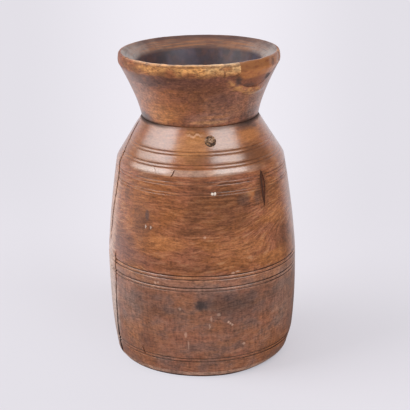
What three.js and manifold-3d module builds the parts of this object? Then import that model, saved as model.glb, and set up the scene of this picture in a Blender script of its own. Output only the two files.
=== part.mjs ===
// An old turned wooden vase: a full body with a cone-shaped shoulder, a flared collar whose spigot sits in the
// body's mouth, a tapered disc that closes the foot, and three small pieces let into the wood: a glued repair in
// the rim, a dead knot in the shoulder and a pocket of bark in the wall.
// Millimetres, +Z up, origin on the floor under the middle of the foot. An azimuth is in degrees round +Z, with 0
// at the front (-Y) and 90 at the right (+X).
import * as THREE from "three";
import { mergeVertices } from "three/addons/utils/BufferGeometryUtils.js";
import Module from "manifold-3d";

// Outside of the body, from the foot up.
const FOOT_RADIUS = 73.5;
const FOOT_EDGE = 5; // rounding where the wall turns under
const FOOT_CURVE = 2.75; // power of the swell from the foot to the widest ring
const BELLY_RADIUS = 80.3;
const BELLY_HEIGHT = 90; // floor to the widest ring
const SHOULDER_RADIUS = 70.5;
const SHOULDER_RISE = 86; // widest ring to the shoulder's edge
const SHOULDER_CURVE = 1.4; // power of the curve from the widest ring to the shoulder's edge
const NECK_RADIUS = 49;
const NECK_RISE = 34.5; // shoulder's edge to the neck seam

// Turned lines, cut in pairs round the body.
const GROOVE_WIDTH = 1.6;
const GROOVE_DEPTH = 0.8;
const GROOVE_PITCH = 2.8; // between the two lines of a pair
const FOOT_LINES = 18; // floor to the pair at the foot
const LOWER_BELT_LINES = 8.2; // widest ring down to the lower belt pair
const UPPER_BELT_LINES = 1.8; // widest ring up to the upper belt pair
const LOWER_SHOULDER_LINES = 6.3; // shoulder's edge up to the lower shoulder pair
const UPPER_SHOULDER_LINES = 15.5; // shoulder's edge up to the upper shoulder pair

// Inside of the body.
const BODY_WALL = 12.5;
const CAVITY_DROP = 8; // shoulder's edge down to where the cavity's side begins
const SEAT_THICKNESS = 5; // wood left under the collar's spigot and over the base disc

// Collar and rim.
const COLLAR_HEIGHT = 54.5; // neck seam to the lip
const COLLAR_CURVE = 1.36; // power of the flare
const COLLAR_WALL = 10.5; // at the neck seam
const RIM_RADIUS = 67.5;
const RIM_BAND = 9.5; // height of the rim's upright band
const RIM_EASE = 1.1; // how far the band draws in at its two edges
const BEVEL_WIDTH = 13; // inside bevel of the rim, measured across
const BEVEL_DROP = 6.5; // and measured down
const SPIGOT_LENGTH = 12;
const SPIGOT_WALL = 4.8;

// Base disc.
const BASE_THICKNESS = 13;
const BASE_RECESS = 1.5; // the disc's underside sits above the floor
const BASE_TAPER = 1.5; // how much smaller the disc is at its top
const FOOT_RING = 11; // width of the ring that the vase stands on
const BASE_LAP = 4; // how far the body laps over the disc

// Repair piece in the rim.
const PATCH_AZIMUTH = 53.8;
const PATCH_WIDTH = 56;
const PATCH_EDGE = 12; // lip down to the foot of the straight left joint
const PATCH_DEPTH = 22; // lip down to the deepest point

// Dead knot in the shoulder.
const KNOT_AZIMUTH = 8.3;
const KNOT_RISE = 24.5; // shoulder's edge up to the middle of the knot
const KNOT_RADIUS = 4.6;
const KNOT_POINT = 3.2; // radius at its inner end
const KNOT_DEPTH = 6.5;

// Pocket of bark in the wall.
const BARK_AZIMUTH = 43.3;
const BARK_DROP = 17; // shoulder's edge down to the middle of the pocket
const BARK_LENGTH = 29;
const BARK_WIDTH = 5.5;
const BARK_DEPTH = 5;

const JOINT_GAP = 0.3; // clearance between a let-in piece and its seat
const CUT_MARGIN = 6; // how far a cutter runs past the surface that it cuts
const SEGMENTS = 48; // sides of everything turned
const CURVE_STEPS = 6; // straight steps along each curve of a profile

const shoulderHeight = BELLY_HEIGHT + SHOULDER_RISE;
const neckHeight = shoulderHeight + NECK_RISE;
const lipHeight = neckHeight + COLLAR_HEIGHT;
const throatRadius = NECK_RADIUS - COLLAR_WALL;
const spigotRadius = throatRadius + SPIGOT_WALL;
const seatHeight = neckHeight - SPIGOT_LENGTH - JOINT_GAP;
const footInnerRadius = FOOT_RADIUS - FOOT_EDGE - FOOT_RING;
const baseTop = BASE_RECESS + BASE_THICKNESS;

const wasm = await Module();
wasm.setup();

// A closed geometry as a solid that can be joined and cut.
function solidOf(geometry) {
  const bare = geometry.index ? geometry.toNonIndexed() : geometry.clone();
  bare.deleteAttribute("normal");
  bare.deleteAttribute("uv");
  const merged = mergeVertices(bare, 1e-3);
  return new wasm.Manifold(
    new wasm.Mesh({
      numProp: 3,
      vertProperties: merged.getAttribute("position").array,
      triVerts: new Uint32Array(merged.index.array),
    }),
  );
}

// A solid as a geometry with flat faces.
function geometryOf(solid) {
  const made = solid.getMesh();
  const geometry = new THREE.BufferGeometry();
  geometry.setAttribute("position", new THREE.BufferAttribute(made.vertProperties, made.numProp));
  geometry.setIndex(new THREE.BufferAttribute(made.triVerts, 1));
  const flat = geometry.toNonIndexed();
  flat.computeVertexNormals();
  return flat;
}

// A profile of [radius, height] points, up the outside and down the inside, turned round +Z.
function turned(profile) {
  const points = profile.map(([radius, height]) => new THREE.Vector2(radius, height));
  return new THREE.LatheGeometry(points, SEGMENTS).rotateX(Math.PI / 2);
}

// Moves a cutter drawn at the origin, with X along the surface and Y up it, to an azimuth. Its Z then points
// straight out of the vase.
function atAzimuth(geometry, azimuth) {
  const turn = THREE.MathUtils.degToRad(azimuth);
  const along = new THREE.Vector3(Math.cos(turn), Math.sin(turn), 0);
  const up = new THREE.Vector3(0, 0, 1);
  const out = new THREE.Vector3(Math.sin(turn), -Math.cos(turn), 0);
  return geometry.applyMatrix4(new THREE.Matrix4().makeBasis(along, up, out));
}

// Evenly spaced heights from low to high, both ends included.
function steps(low, high, count) {
  return Array.from({ length: count + 1 }, (_, i) => low + ((high - low) * i) / count);
}

// Radius of the body's outside at a height, before its lines are cut.
function bodyRadius(height) {
  if (height <= BELLY_HEIGHT) {
    const down = (BELLY_HEIGHT - height) / BELLY_HEIGHT;
    return BELLY_RADIUS - (BELLY_RADIUS - FOOT_RADIUS) * down ** FOOT_CURVE;
  }
  if (height <= shoulderHeight) {
    const up = (height - BELLY_HEIGHT) / SHOULDER_RISE;
    return BELLY_RADIUS - (BELLY_RADIUS - SHOULDER_RADIUS) * up ** SHOULDER_CURVE;
  }
  return SHOULDER_RADIUS - ((SHOULDER_RADIUS - NECK_RADIUS) * (height - shoulderHeight)) / NECK_RISE;
}

// Heights of the turned lines, two for each pair.
const lineHeights = [
  FOOT_LINES,
  BELLY_HEIGHT - LOWER_BELT_LINES,
  BELLY_HEIGHT + UPPER_BELT_LINES,
  shoulderHeight + LOWER_SHOULDER_LINES,
  shoulderHeight + UPPER_SHOULDER_LINES,
].flatMap((middle) => [middle - GROOVE_PITCH / 2, middle + GROOVE_PITCH / 2]);

// Depth of the turned lines at a height.
function lineDepth(height) {
  const cuts = lineHeights.map((line) => 1 - Math.abs(height - line) / (GROOVE_WIDTH / 2));
  return GROOVE_DEPTH * Math.max(0, ...cuts);
}

// The body's outside, from the foot's edge up to the neck seam, with its lines.
function bodyOutside() {
  const edgeRadius = bodyRadius(FOOT_EDGE) - FOOT_EDGE;
  const edge = steps(0, Math.PI / 2, CURVE_STEPS).map((turn) => [
    edgeRadius + FOOT_EDGE * Math.sin(turn),
    FOOT_EDGE * (1 - Math.cos(turn)),
  ]);
  const heights = [
    ...steps(FOOT_EDGE, BELLY_HEIGHT, CURVE_STEPS).slice(1),
    ...steps(BELLY_HEIGHT, shoulderHeight, CURVE_STEPS),
    neckHeight,
    ...lineHeights.flatMap((line) => [line - GROOVE_WIDTH / 2, line, line + GROOVE_WIDTH / 2]),
  ];
  const wall = [...new Set(heights)]
    .filter((height) => height > FOOT_EDGE && height <= neckHeight)
    .sort((a, b) => a - b)
    .map((height) => [bodyRadius(height) - lineDepth(height), height]);
  return [...edge, ...wall];
}

// The body's inside, from the mouth down: socket, seat, cavity, and the tapered rebate of the base disc.
function bodyInside() {
  const socketRadius = spigotRadius + JOINT_GAP;
  const cavityTop = shoulderHeight - CAVITY_DROP;
  const rebateTop = baseTop + JOINT_GAP;
  const cavityFoot = rebateTop + SEAT_THICKNESS;
  const lapRadius = footInnerRadius - BASE_TAPER - BASE_LAP;
  const cavity = steps(cavityTop, cavityFoot + BODY_WALL, CURVE_STEPS).map((height) => [
    bodyRadius(height) - BODY_WALL,
    height,
  ]);
  return [
    [socketRadius, neckHeight],
    [socketRadius, seatHeight],
    [throatRadius, seatHeight],
    [throatRadius, seatHeight - SEAT_THICKNESS],
    ...cavity,
    [lapRadius, cavityFoot],
    [lapRadius, rebateTop],
    [footInnerRadius - BASE_TAPER, rebateTop],
    [footInnerRadius, 0],
  ];
}

// The whole turned body, before the knot and the bark are let in.
function bodyBlank() {
  const outside = bodyOutside();
  return solidOf(turned([...outside, ...bodyInside(), outside[0]]));
}

// The whole turned collar, before the rim is repaired.
function collarBlank() {
  const bandFoot = lipHeight - RIM_BAND;
  const edgeRadius = RIM_RADIUS - RIM_EASE;
  const seam = neckHeight + JOINT_GAP;
  const flare = steps(0, 1, CURVE_STEPS).map((share) => [
    NECK_RADIUS + (edgeRadius - NECK_RADIUS) * share ** COLLAR_CURVE,
    seam + (bandFoot - seam) * share,
  ]);
  const bevelFoot = lipHeight - BEVEL_DROP;
  const mouthRadius = edgeRadius - BEVEL_WIDTH;
  const funnel = steps(1, 0, CURVE_STEPS).map((share) => [
    throatRadius + (mouthRadius - throatRadius) * share ** COLLAR_CURVE,
    seam + (bevelFoot - seam) * share,
  ]);
  const profile = [
    [spigotRadius, seam],
    ...flare,
    [RIM_RADIUS, bandFoot + RIM_BAND / 3],
    [RIM_RADIUS, lipHeight - RIM_BAND / 3],
    [edgeRadius, lipHeight],
    ...funnel,
    [throatRadius, neckHeight - SPIGOT_LENGTH],
    [spigotRadius, neckHeight - SPIGOT_LENGTH],
  ];
  return solidOf(turned([...profile, profile[0]]));
}

// The tapered disc that closes the foot.
function baseDisc() {
  const rebateRadius = (height) => footInnerRadius - (BASE_TAPER * height) / (baseTop + JOINT_GAP);
  return turned([
    [0, BASE_RECESS],
    [rebateRadius(BASE_RECESS) - JOINT_GAP, BASE_RECESS],
    [rebateRadius(baseTop) - JOINT_GAP, baseTop],
    [0, baseTop],
  ]);
}

// Outline of the rim's repair as it is seen from outside, straight at its left and swept up to the lip at its
// right, drawn in by an inset.
function patchCutter(inset) {
  const left = -PATCH_WIDTH / 2 + inset;
  const right = PATCH_WIDTH / 2 - inset;
  const above = lipHeight + CUT_MARGIN;
  const depth = PATCH_DEPTH - inset;
  const outline = new THREE.Shape();
  outline.moveTo(left, above);
  outline.lineTo(left, lipHeight - PATCH_EDGE + inset);
  outline.bezierCurveTo(
    left * 0.7, lipHeight - depth * 1.35,
    right * 0.5, lipHeight - depth * 1.2,
    right, lipHeight,
  );
  outline.lineTo(right, above);
  outline.closePath();
  const reach = RIM_RADIUS + CUT_MARGIN - throatRadius / 2;
  const cutter = new THREE.ExtrudeGeometry(outline, { depth: reach, bevelEnabled: false, curveSegments: 10 });
  return solidOf(atAzimuth(cutter.translate(0, 0, throatRadius / 2), PATCH_AZIMUTH));
}

// The knot's tapered plug, square to the shoulder, drawn in by an inset.
function knotCutter(inset) {
  const height = shoulderHeight + KNOT_RISE;
  const slope = Math.atan2(SHOULDER_RADIUS - NECK_RADIUS, NECK_RISE);
  const depth = KNOT_DEPTH - inset;
  const taper = (KNOT_RADIUS - KNOT_POINT) / KNOT_DEPTH;
  const length = depth + CUT_MARGIN;
  const plug = new THREE.CylinderGeometry(
    KNOT_RADIUS + taper * CUT_MARGIN - inset, KNOT_RADIUS - taper * depth - inset, length, 20,
  );
  plug.translate(0, CUT_MARGIN - length / 2, 0).rotateX(Math.PI / 2 - slope);
  return solidOf(atAzimuth(plug.translate(0, height, bodyRadius(height)), KNOT_AZIMUTH));
}

// The bark's upright lens, drawn in by an inset.
function barkCutter(inset) {
  const middle = shoulderHeight - BARK_DROP;
  const half = BARK_LENGTH / 2 - inset;
  const bulge = BARK_WIDTH - 2 * inset;
  const outline = new THREE.Shape();
  outline.moveTo(0, middle + half);
  outline.quadraticCurveTo(-bulge, middle, 0, middle - half);
  outline.quadraticCurveTo(bulge, middle, 0, middle + half);
  const floor = bodyRadius(middle) - BARK_DEPTH + inset;
  const reach = BELLY_RADIUS + CUT_MARGIN - floor;
  const cutter = new THREE.ExtrudeGeometry(outline, { depth: reach, bevelEnabled: false, curveSegments: 8 });
  return solidOf(atAzimuth(cutter.translate(0, 0, floor), BARK_AZIMUTH));
}

const vase = new THREE.Group();

// Adds one named piece in its own wood.
function addPiece(name, geometry, colour, roughness) {
  const material = new THREE.MeshStandardMaterial({ color: colour, roughness, metalness: 0 });
  const piece = new THREE.Mesh(geometry, material);
  piece.name = name;
  vase.add(piece);
}

const blank = bodyBlank();
const body = blank.subtract(knotCutter(0)).subtract(barkCutter(0));
const collar = collarBlank();
addPiece("body", geometryOf(body), 0x8c5a38, 0.42);
addPiece("neck_collar", geometryOf(collar.subtract(patchCutter(0))), 0x86573a, 0.46);
addPiece("base_disc", baseDisc(), 0x6f4a30, 0.7);
addPiece("rim_patch", geometryOf(collar.intersect(patchCutter(JOINT_GAP))), 0x8f5836, 0.48);
addPiece("shoulder_knot", geometryOf(blank.intersect(knotCutter(JOINT_GAP))), 0x5c3f2c, 0.6);
addPiece("bark_pocket", geometryOf(blank.intersect(barkCutter(JOINT_GAP))), 0x43302a, 0.7);

export default vase;
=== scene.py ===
"""An old turned wooden vase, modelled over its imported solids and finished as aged, waxed wood.

Lengths are metres in the part's own frame: +Z up, the floor at zero, the front at -Y. An azimuth is in
degrees round +Z, with 0 at the front and 90 at the right (+X). Shader lengths are millimetres.
"""

import math

import bpy
from bpy.props import FloatProperty, FloatVectorProperty, IntProperty, PointerProperty
from mathutils import Matrix, Vector


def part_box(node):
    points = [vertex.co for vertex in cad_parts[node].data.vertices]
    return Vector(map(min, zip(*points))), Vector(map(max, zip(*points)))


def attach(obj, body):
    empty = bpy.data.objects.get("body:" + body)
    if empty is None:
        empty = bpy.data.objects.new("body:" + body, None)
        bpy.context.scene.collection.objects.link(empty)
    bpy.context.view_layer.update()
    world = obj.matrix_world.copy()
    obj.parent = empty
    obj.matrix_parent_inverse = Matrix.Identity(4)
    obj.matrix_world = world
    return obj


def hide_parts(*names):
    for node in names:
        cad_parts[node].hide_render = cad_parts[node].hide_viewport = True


bl_info = {
    "name": "Turned Wooden Vase",
    "version": (1, 0, 0),
    "blender": (4, 5, 0),
    "location": "View3D > Sidebar > Vase",
    "description": "Models an old turned wooden vase and its stage",
    "category": "Add Mesh",
}

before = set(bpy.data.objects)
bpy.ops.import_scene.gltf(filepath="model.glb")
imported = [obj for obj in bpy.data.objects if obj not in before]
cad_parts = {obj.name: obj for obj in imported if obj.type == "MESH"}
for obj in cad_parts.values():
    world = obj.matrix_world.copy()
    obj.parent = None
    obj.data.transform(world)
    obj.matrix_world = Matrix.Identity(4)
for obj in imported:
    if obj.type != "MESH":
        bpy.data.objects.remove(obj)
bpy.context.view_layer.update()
BODY_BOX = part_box("body")
COLLAR_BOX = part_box("neck_collar")
DISC_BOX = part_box("base_disc")

MM = 0.001
WELD = 0.01 * MM
WARP_SIZE = 22 * MM
WARP_DEPTH = 0.25 * MM
SMOOTH_ANGLE = math.radians(32)


def tone(code):
    """A colour written as six hex digits, as the linear colour that shaders take."""
    shares = [int(code[i : i + 2], 16) / 255 for i in (0, 2, 4)]
    linear = [s / 12.92 if s <= 0.04045 else ((s + 0.055) / 1.055) ** 2.4 for s in shares]
    return (*linear, 1.0)


def length(name, description, default):
    """A length that the sidebar shows in scene units."""
    return FloatProperty(name=name, description=description, default=default, unit="LENGTH", precision=5)


def colour(name, description, code):
    """A colour that the sidebar shows as a swatch."""
    return FloatVectorProperty(
        name=name, description=description, subtype="COLOR", size=4, min=0.0, max=1.0, default=tone(code)
    )


def power(name, description, default):
    """A lamp's power, which the sidebar shows in watts."""
    return FloatProperty(name=name, description=description, default=default, unit="POWER")


# Sizes, colours and light that a user would change


class VaseSizes(bpy.types.PropertyGroup):
    """Sizes of the turned wood."""

    belly_radius: length("Belly radius", "Radius of the widest ring", BODY_BOX[1].x)
    belly_height: length("Belly height", "Floor to the widest ring", 0.090)
    foot_radius: length("Foot radius", "Radius of the wall at the floor, before its edge is rounded", 0.0735)
    foot_edge: length("Foot edge", "Rounding where the wall turns under", 0.009)
    shoulder_radius: length("Shoulder radius", "Radius at the shoulder's edge", 0.0705)
    shoulder_height: length("Shoulder height", "Floor to the shoulder's edge", 0.176)
    shoulder_edge: length("Shoulder edge", "Reach of the rounding at the shoulder's edge", 0.0007)
    neck_radius: length("Neck radius", "Radius at the neck seam", 0.049)
    neck_height: length("Neck height", "Floor to the neck seam", BODY_BOX[1].z)
    seam_edge: length("Seam edge", "Rounding of the body's edge at the neck seam", 0.0004)
    rim_radius: length("Rim radius", "Radius of the rim's band", COLLAR_BOX[1].x)
    rim_band: length("Rim band", "Height of the rim's band", 0.0095)
    lip_height: length("Lip height", "Floor to the top of the rim", COLLAR_BOX[1].z)
    bevel_width: length("Bevel width", "Lip to the edge of the funnel", 0.0130)
    bevel_drop: length("Bevel drop", "Fall of the bevel from the lip to the funnel", 0.0065)
    spigot_foot: length("Spigot foot", "Floor to the lower end of the collar's spigot", COLLAR_BOX[0].z)
    spigot_wall: length("Spigot wall", "Thickness of the collar's spigot", 0.0048)
    disc_radius: length("Disc radius", "Radius of the foot disc's underside", DISC_BOX[1].x)
    disc_taper: length("Disc taper", "How much smaller the foot disc's top is", 0.0015)
    disc_foot: length("Disc underside", "Floor to the foot disc's underside", DISC_BOX[0].z)
    disc_top: length("Disc top", "Floor to the foot disc's top", DISC_BOX[1].z)
    wall: length("Wall", "Thickness of the body's wall", 0.0125)
    throat_radius: length("Throat radius", "Radius of the way in at the neck", 0.0385)
    joint_gap: length("Joint gap", "Room round each let-in piece", 0.0003)
    patch_width: length("Repair width", "Width of the rim repair", 0.056)
    patch_edge: length("Repair edge", "Depth of the repair's straight joint", 0.012)
    patch_depth: length("Repair depth", "Depth of the repair below the lip", 0.022)
    patch_sink: length("Repair sink", "How far the repair lies below the collar", 0.0006)
    knot_radius: length("Knot radius", "Radius of the dead knot", 0.0046)
    knot_point: length("Knot point", "Radius of the knot's inner end", 0.0032)
    knot_depth: length("Knot depth", "Length of the knot into the shoulder", 0.0065)
    bark_length: length("Bark length", "Length of the bark pocket", 0.029)
    bark_width: length("Bark width", "Width of the bark pocket", 0.0055)
    bark_depth: length("Bark depth", "Depth of the bark pocket", 0.005)
    sides: IntProperty(name="Sides", description="Steps round a turned piece", default=288)


class VaseWoods(bpy.types.PropertyGroup):
    """Colours of the wood, its stains and its wear."""

    heart: colour("Heartwood", "Middle brown of the waxed wood", "9A5C30")
    warm: colour("Warm wood", "Golden brown where the wax is thin", "B2713E")
    rose: colour("Rose wood", "Pinkish brown of the figure", "9C5E40")
    # Also laid as a painted shadow above the torn place beside the knot.
    dark: colour("Dark wood", "Darkened wood in streaks", "6E4125")
    # Also greys the wood where the shoulder's highlights fall, as part of the painted highlights.
    plum: colour("Plum stain", "Purple brown where old wax has sunk in", "6A4236")
    ash_and_highlight: colour("Ash film", "Greyish film of dust in the wax", "8A7468")
    # Also the dark spots and painted shadow just above the repair's ridge.
    stain_and_shade: colour("Stain", "Dark watery stains on the belly", "493B38")
    # Also the painted contact shadow under the foot, and, with dirt, the painted shade under the rim's band.
    grime_and_shade: colour("Grime", "Old wax and dirt in seams and cut lines", "2E1A12")
    # Also the painted highlight along the ridge below the repair.
    worn: colour("Worn wood", "Bare orange wood where hands have rubbed it", "D09456")
    cream: colour("Cream wood", "Palest bare wood on the lip", "E0B884")
    # Also the painted highlights along the shoulder's edge and the lip, and part of the painted reflection at
    # the wall's left edge; in the nicks, fresh wood with a painted glint.
    nick_and_highlight: colour("Nick", "Fresh wood in deep nicks", "F0E2D4")
    # Also part of the painted reflection along the wall's left edge.
    graze_and_reflection: colour("Graze", "Paler wood in fine scratches", "D8B096")
    # Its grey is a painted reflection on the bevel's sides.
    bevel: colour("Bevel", "Greyed wood of the rim's bevel", "A89E9A")
    # A painted reflection: bluish streaks inside the mouth.
    painted_mouth_sheen: colour("Haze", "Bluish bloom inside the mouth", "5C5468")
    inside: colour("Inside", "Darkened wood of the mouth", "3E3036")
    repair: colour("Repair", "Redder wood of the rim repair", "8E4D2C")
    knot: colour("Knot", "Dead wood of the knot", "5A3F2C")
    fleck: colour("Fleck", "Pale flecks in the knot", "A67E5A")
    bark: colour("Bark", "Bark and resin", "66300F")
    bare: colour("Bare wood", "Unwaxed wood under the foot", "8A6443")


class VaseLight(bpy.types.PropertyGroup):
    """Light and backdrop."""

    backdrop: colour("Backdrop", "Pale colour of the floor and the room", "E3E0E7")
    left_power: power("Left box", "Power of the left soft box", 11.0)
    right_power: power("Right box", "Power of the right soft box", 10.8)
    room_light: FloatProperty(name="Room light", description="Strength of the even light", default=0.62)


# Shader nodes written as Python expressions


class Wire:
    """A shader value that Python's own arithmetic works on."""

    def __init__(self, nodes, socket):
        self.nodes = nodes
        self.socket = socket

    def output(self, name):
        """Another output of the same node."""
        return Wire(self.nodes, self.socket.node.outputs[name])

    def __add__(self, other):
        return self.nodes.maths("ADD", self, other)

    def __sub__(self, other):
        return self.nodes.maths("SUBTRACT", self, other)

    def __rsub__(self, other):
        return self.nodes.maths("SUBTRACT", other, self)

    def __mul__(self, other):
        return self.nodes.maths("MULTIPLY", self, other)

    def __truediv__(self, other):
        return self.nodes.maths("DIVIDE", self, other)

    def __rtruediv__(self, other):
        return self.nodes.maths("DIVIDE", other, self)

    def __pow__(self, other):
        return self.nodes.maths("POWER", self, other)

    def __rpow__(self, other):
        return self.nodes.maths("POWER", other, self)

    def __neg__(self):
        return self.nodes.maths("MULTIPLY", self, -1.0)

    __radd__ = __add__
    __rmul__ = __mul__


NOISE_REACH = (0.3, 0.7)


class Nodes:
    """The nodes of a material or of the world."""

    def __init__(self, tree):
        self.tree = tree
        self.tree.nodes.clear()

    def node(self, kind, settings=None, sockets=None, output=0):
        """Adds a node: its settings first, then the values or links of its sockets."""
        made = self.tree.nodes.new(kind)
        for name, value in (settings or {}).items():
            setattr(made, name, value)
        for name, value in (sockets or {}).items():
            if isinstance(value, Wire):
                self.tree.links.new(value.socket, made.inputs[name])
            else:
                made.inputs[name].default_value = value
        return Wire(self, made.outputs[output]) if made.outputs else made

    def maths(self, operation, first, second=0.0, third=0.0):
        """One Math node on up to three values."""
        return self.node("ShaderNodeMath", {"operation": operation}, {0: first, 1: second, 2: third})

    def larger(self, first, second):
        """The larger of two values."""
        return self.maths("MAXIMUM", first, second)

    def absolute(self, value):
        """A value without its sign."""
        return self.maths("ABSOLUTE", value)

    def vector(self, operation, first, second, output=0):
        """One Vector Math node on two vectors."""
        return self.node("ShaderNodeVectorMath", {"operation": operation}, {0: first, 1: second}, output)

    def split(self, vector):
        """The three numbers of a vector."""
        first = self.node("ShaderNodeSeparateXYZ", None, {0: vector})
        return first, first.output("Y"), first.output("Z")

    def join(self, x, y, z=0.0):
        """A vector of three numbers."""
        return self.node("ShaderNodeCombineXYZ", None, {0: x, 1: y, 2: z})

    def grey(self, value):
        """A grey colour of one value."""
        return self.node("ShaderNodeCombineColor", None, {0: value, 1: value, 2: value})

    def noise(self, place, detail=3.0, roughness=0.55, output=0):
        """Cloudy noise from 0 to 1, with features of about one unit."""
        sockets = {"Vector": place, "Scale": 1.0, "Detail": detail, "Roughness": roughness}
        return self.node("ShaderNodeTexNoise", {"noise_dimensions": "3D"}, sockets, output)

    def cells(self, place):
        """Distance to the nearest of many scattered points, about one unit apart."""
        return self.node("ShaderNodeTexVoronoi", None, {"Vector": place, "Scale": 1.0})

    def ease(self, value, low, high, start=0.0, end=1.0):
        """A value eased from start to end as it goes from low to high."""
        sockets = {"Value": value, 1: low, 2: high, 3: start, 4: end}
        return self.node("ShaderNodeMapRange", {"interpolation_type": "SMOOTHSTEP"}, sockets)

    def spread_out(self, noise, low=0.0, high=1.0):
        """Noise, which keeps near its middle, spread out from a low to a high value."""
        return self.ease(noise, *NOISE_REACH, low, high)

    def waver(self, value, noise, amount):
        """A value that noise moves by up to half an amount either way."""
        return value + (noise - 0.5) * amount

    def blend(self, share, first, second, mode="MIX"):
        """One colour laid over another by a share."""
        settings = {"data_type": "RGBA", "blend_type": mode, "clamp_factor": True}
        return self.node("ShaderNodeMix", settings, {0: share, 6: first, 7: second}, 2)

    def lit(self, shade, light):
        """A colour made lighter or darker by a factor."""
        return self.blend(1.0, shade, self.grey(light), "MULTIPLY")

    def seen_or_mirrored(self):
        """1 for rays from the camera, from a glossy surface or through glass, 0 for the light itself."""
        path = self.node("ShaderNodeLightPath", output="Is Camera Ray")
        mirrored = self.larger(path.output("Is Glossy Ray"), path.output("Is Transmission Ray"))
        return self.larger(path, mirrored)


WAX_IOR = 1.5
COAT_ROUGHNESS = 0.27
FRAYS = (
    # for marks under a size in mm: size of the raggedness in mm and its amount
    (4.0, 0.8, 1.6),
    (13.0, 2.0, 5.0),
    (math.inf, 5.0, 14.0),
)


class Surface(Nodes):
    """A new material with the coordinates that the wood's marks are placed by."""

    def __init__(self, name):
        self.material = bpy.data.materials.new(name)
        self.material.use_nodes = True
        super().__init__(self.material.node_tree)
        metres = self.node("ShaderNodeTexCoord", output="Object")
        self.place = self.node(
            "ShaderNodeVectorMath", {"operation": "SCALE"}, {"Vector": metres, "Scale": 1 / MM}
        )
        self.x, self.y, self.z = self.split(self.place)
        self.reach = (self.x * self.x + self.y * self.y) ** 0.5
        self.azimuth = self.maths("ARCTAN2", self.x, -self.y) * math.degrees(1.0)
        across, along, self.upward = self.split(metres.output("Normal"))
        self.outward = (across * self.x + along * self.y) / self.reach
        self.charts = [self.frayed(*fray) for fray in FRAYS]

    def stretch(self, around, upright):
        """The place with lengths round the vase and upright in units of their own, for streaky noise."""
        return self.vector("MULTIPLY", self.place, (1 / around, 1 / around, 1 / upright))

    def frayed(self, limit, size, amount):
        """Azimuth and height, made ragged for marks that are under a limit in size."""
        ragged = self.noise(self.stretch(2 * size, size), 3.0, 0.6, "Color")
        sideways, upright, _ = self.split(ragged)
        around = self.maths("MULTIPLY_ADD", sideways, amount, self.azimuth - amount / 2)
        height = self.maths("MULTIPLY_ADD", upright, amount, self.z - amount / 2)
        return limit, around, height

    def mark(self, azimuth, height, width, tall, share=1.0, edge=0.7):
        """A mark of a width in degrees and a height in mm: a share in its middle, fading to 0 outside."""
        fitting = [chart for chart in self.charts if min(width, tall) < chart[0]]
        _, around, upright = fitting[0]
        across = self.maths("MULTIPLY_ADD", around, 2 / width, -2 * azimuth / width)
        up = self.maths("MULTIPLY_ADD", upright, 2 / tall, -2 * height / tall)
        away = self.maths("MULTIPLY_ADD", up, up, across * across)
        return self.ease(away, (1 + edge / 2) ** 2, (1 - edge) ** 2, 0.0, share)

    def toward(self, azimuth):
        """1 where the surface looks to an azimuth, 0 at its sides and -1 behind."""
        turn = math.radians(azimuth)
        return (self.x * math.sin(turn) - self.y * math.cos(turn)) / self.reach

    def ring(self, height, half, soft):
        """1 on a ring of the surface at a height, 0 outside it."""
        away = self.absolute(self.z - height)
        return self.ease(away, half + soft, half)

    def finish(self, base, roughness, relief, depth, coat=0.0):
        """Joins the colour, the roughness and the relief, whose depth is in mm, to one surface."""
        bump = {"Strength": 1.0, "Distance": depth * MM, "Height": relief}
        normal = self.node("ShaderNodeBump", None, bump)
        sockets = {"Base Color": base, "Roughness": roughness, "Normal": normal}
        sockets.update({"IOR": WAX_IOR, "Coat Weight": coat, "Coat Roughness": COAT_ROUGHNESS})
        surface = self.node("ShaderNodeBsdfPrincipled", None, sockets)
        self.node("ShaderNodeOutputMaterial", None, {"Surface": surface})
        return self.material


# Modelling steps that several pieces share


def deselect_all():
    """Leaves nothing selected for the next operator to act on."""
    if bpy.context.object and bpy.context.object.mode != "OBJECT":
        bpy.ops.object.mode_set(mode="OBJECT")
    bpy.ops.object.select_all(action="DESELECT")


def pick(piece):
    """Selects one piece alone and makes it the active one."""
    deselect_all()
    piece.select_set(True)
    bpy.context.view_layer.objects.active = piece


def draw_chain(name, points):
    """Draws a chain of edges through points, and leaves it selected in edit mode."""
    deselect_all()
    bpy.ops.mesh.primitive_plane_add(size=MM)
    piece = bpy.context.object
    piece.name = name
    bpy.ops.object.mode_set(mode="EDIT")
    bpy.ops.mesh.select_all(action="SELECT")
    bpy.ops.mesh.merge(type="CENTER")
    bpy.ops.transform.translate(value=points[0])
    for here, there in zip(points, points[1:]):
        bpy.ops.mesh.extrude_vertices_move(TRANSFORM_OT_translate={"value": there - here})
    bpy.ops.mesh.select_all(action="SELECT")
    return piece


def close_mesh():
    """Merges doubles, turns the faces outwards and leaves edit mode."""
    bpy.ops.mesh.select_all(action="SELECT")
    bpy.ops.mesh.remove_doubles(threshold=WELD)
    bpy.ops.mesh.normals_make_consistent(inside=False)
    bpy.ops.object.mode_set(mode="OBJECT")


def turn_outline(name, outline, sides):
    """Turns an outline of (radius, height) points round the Z axis into a closed piece."""
    piece = draw_chain(name, [Vector((0.0, -radius, height)) for radius, height in outline])
    bpy.ops.mesh.spin(steps=sides, angle=math.tau, center=(0, 0, 0), axis=(0, 0, 1))
    close_mesh()
    return piece


def block(name, outline, outer, inner):
    """A straight block at the front with an outline of (across, height) points, from outer to inner."""
    points = [Vector((across, -outer, height)) for across, height in outline]
    piece = draw_chain(name, [*points, points[0]])
    bpy.ops.mesh.remove_doubles(threshold=WELD)
    bpy.ops.mesh.edge_face_add()
    bpy.ops.mesh.extrude_region_move(TRANSFORM_OT_translate={"value": (0, outer - inner, 0)})
    close_mesh()
    return piece


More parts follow.
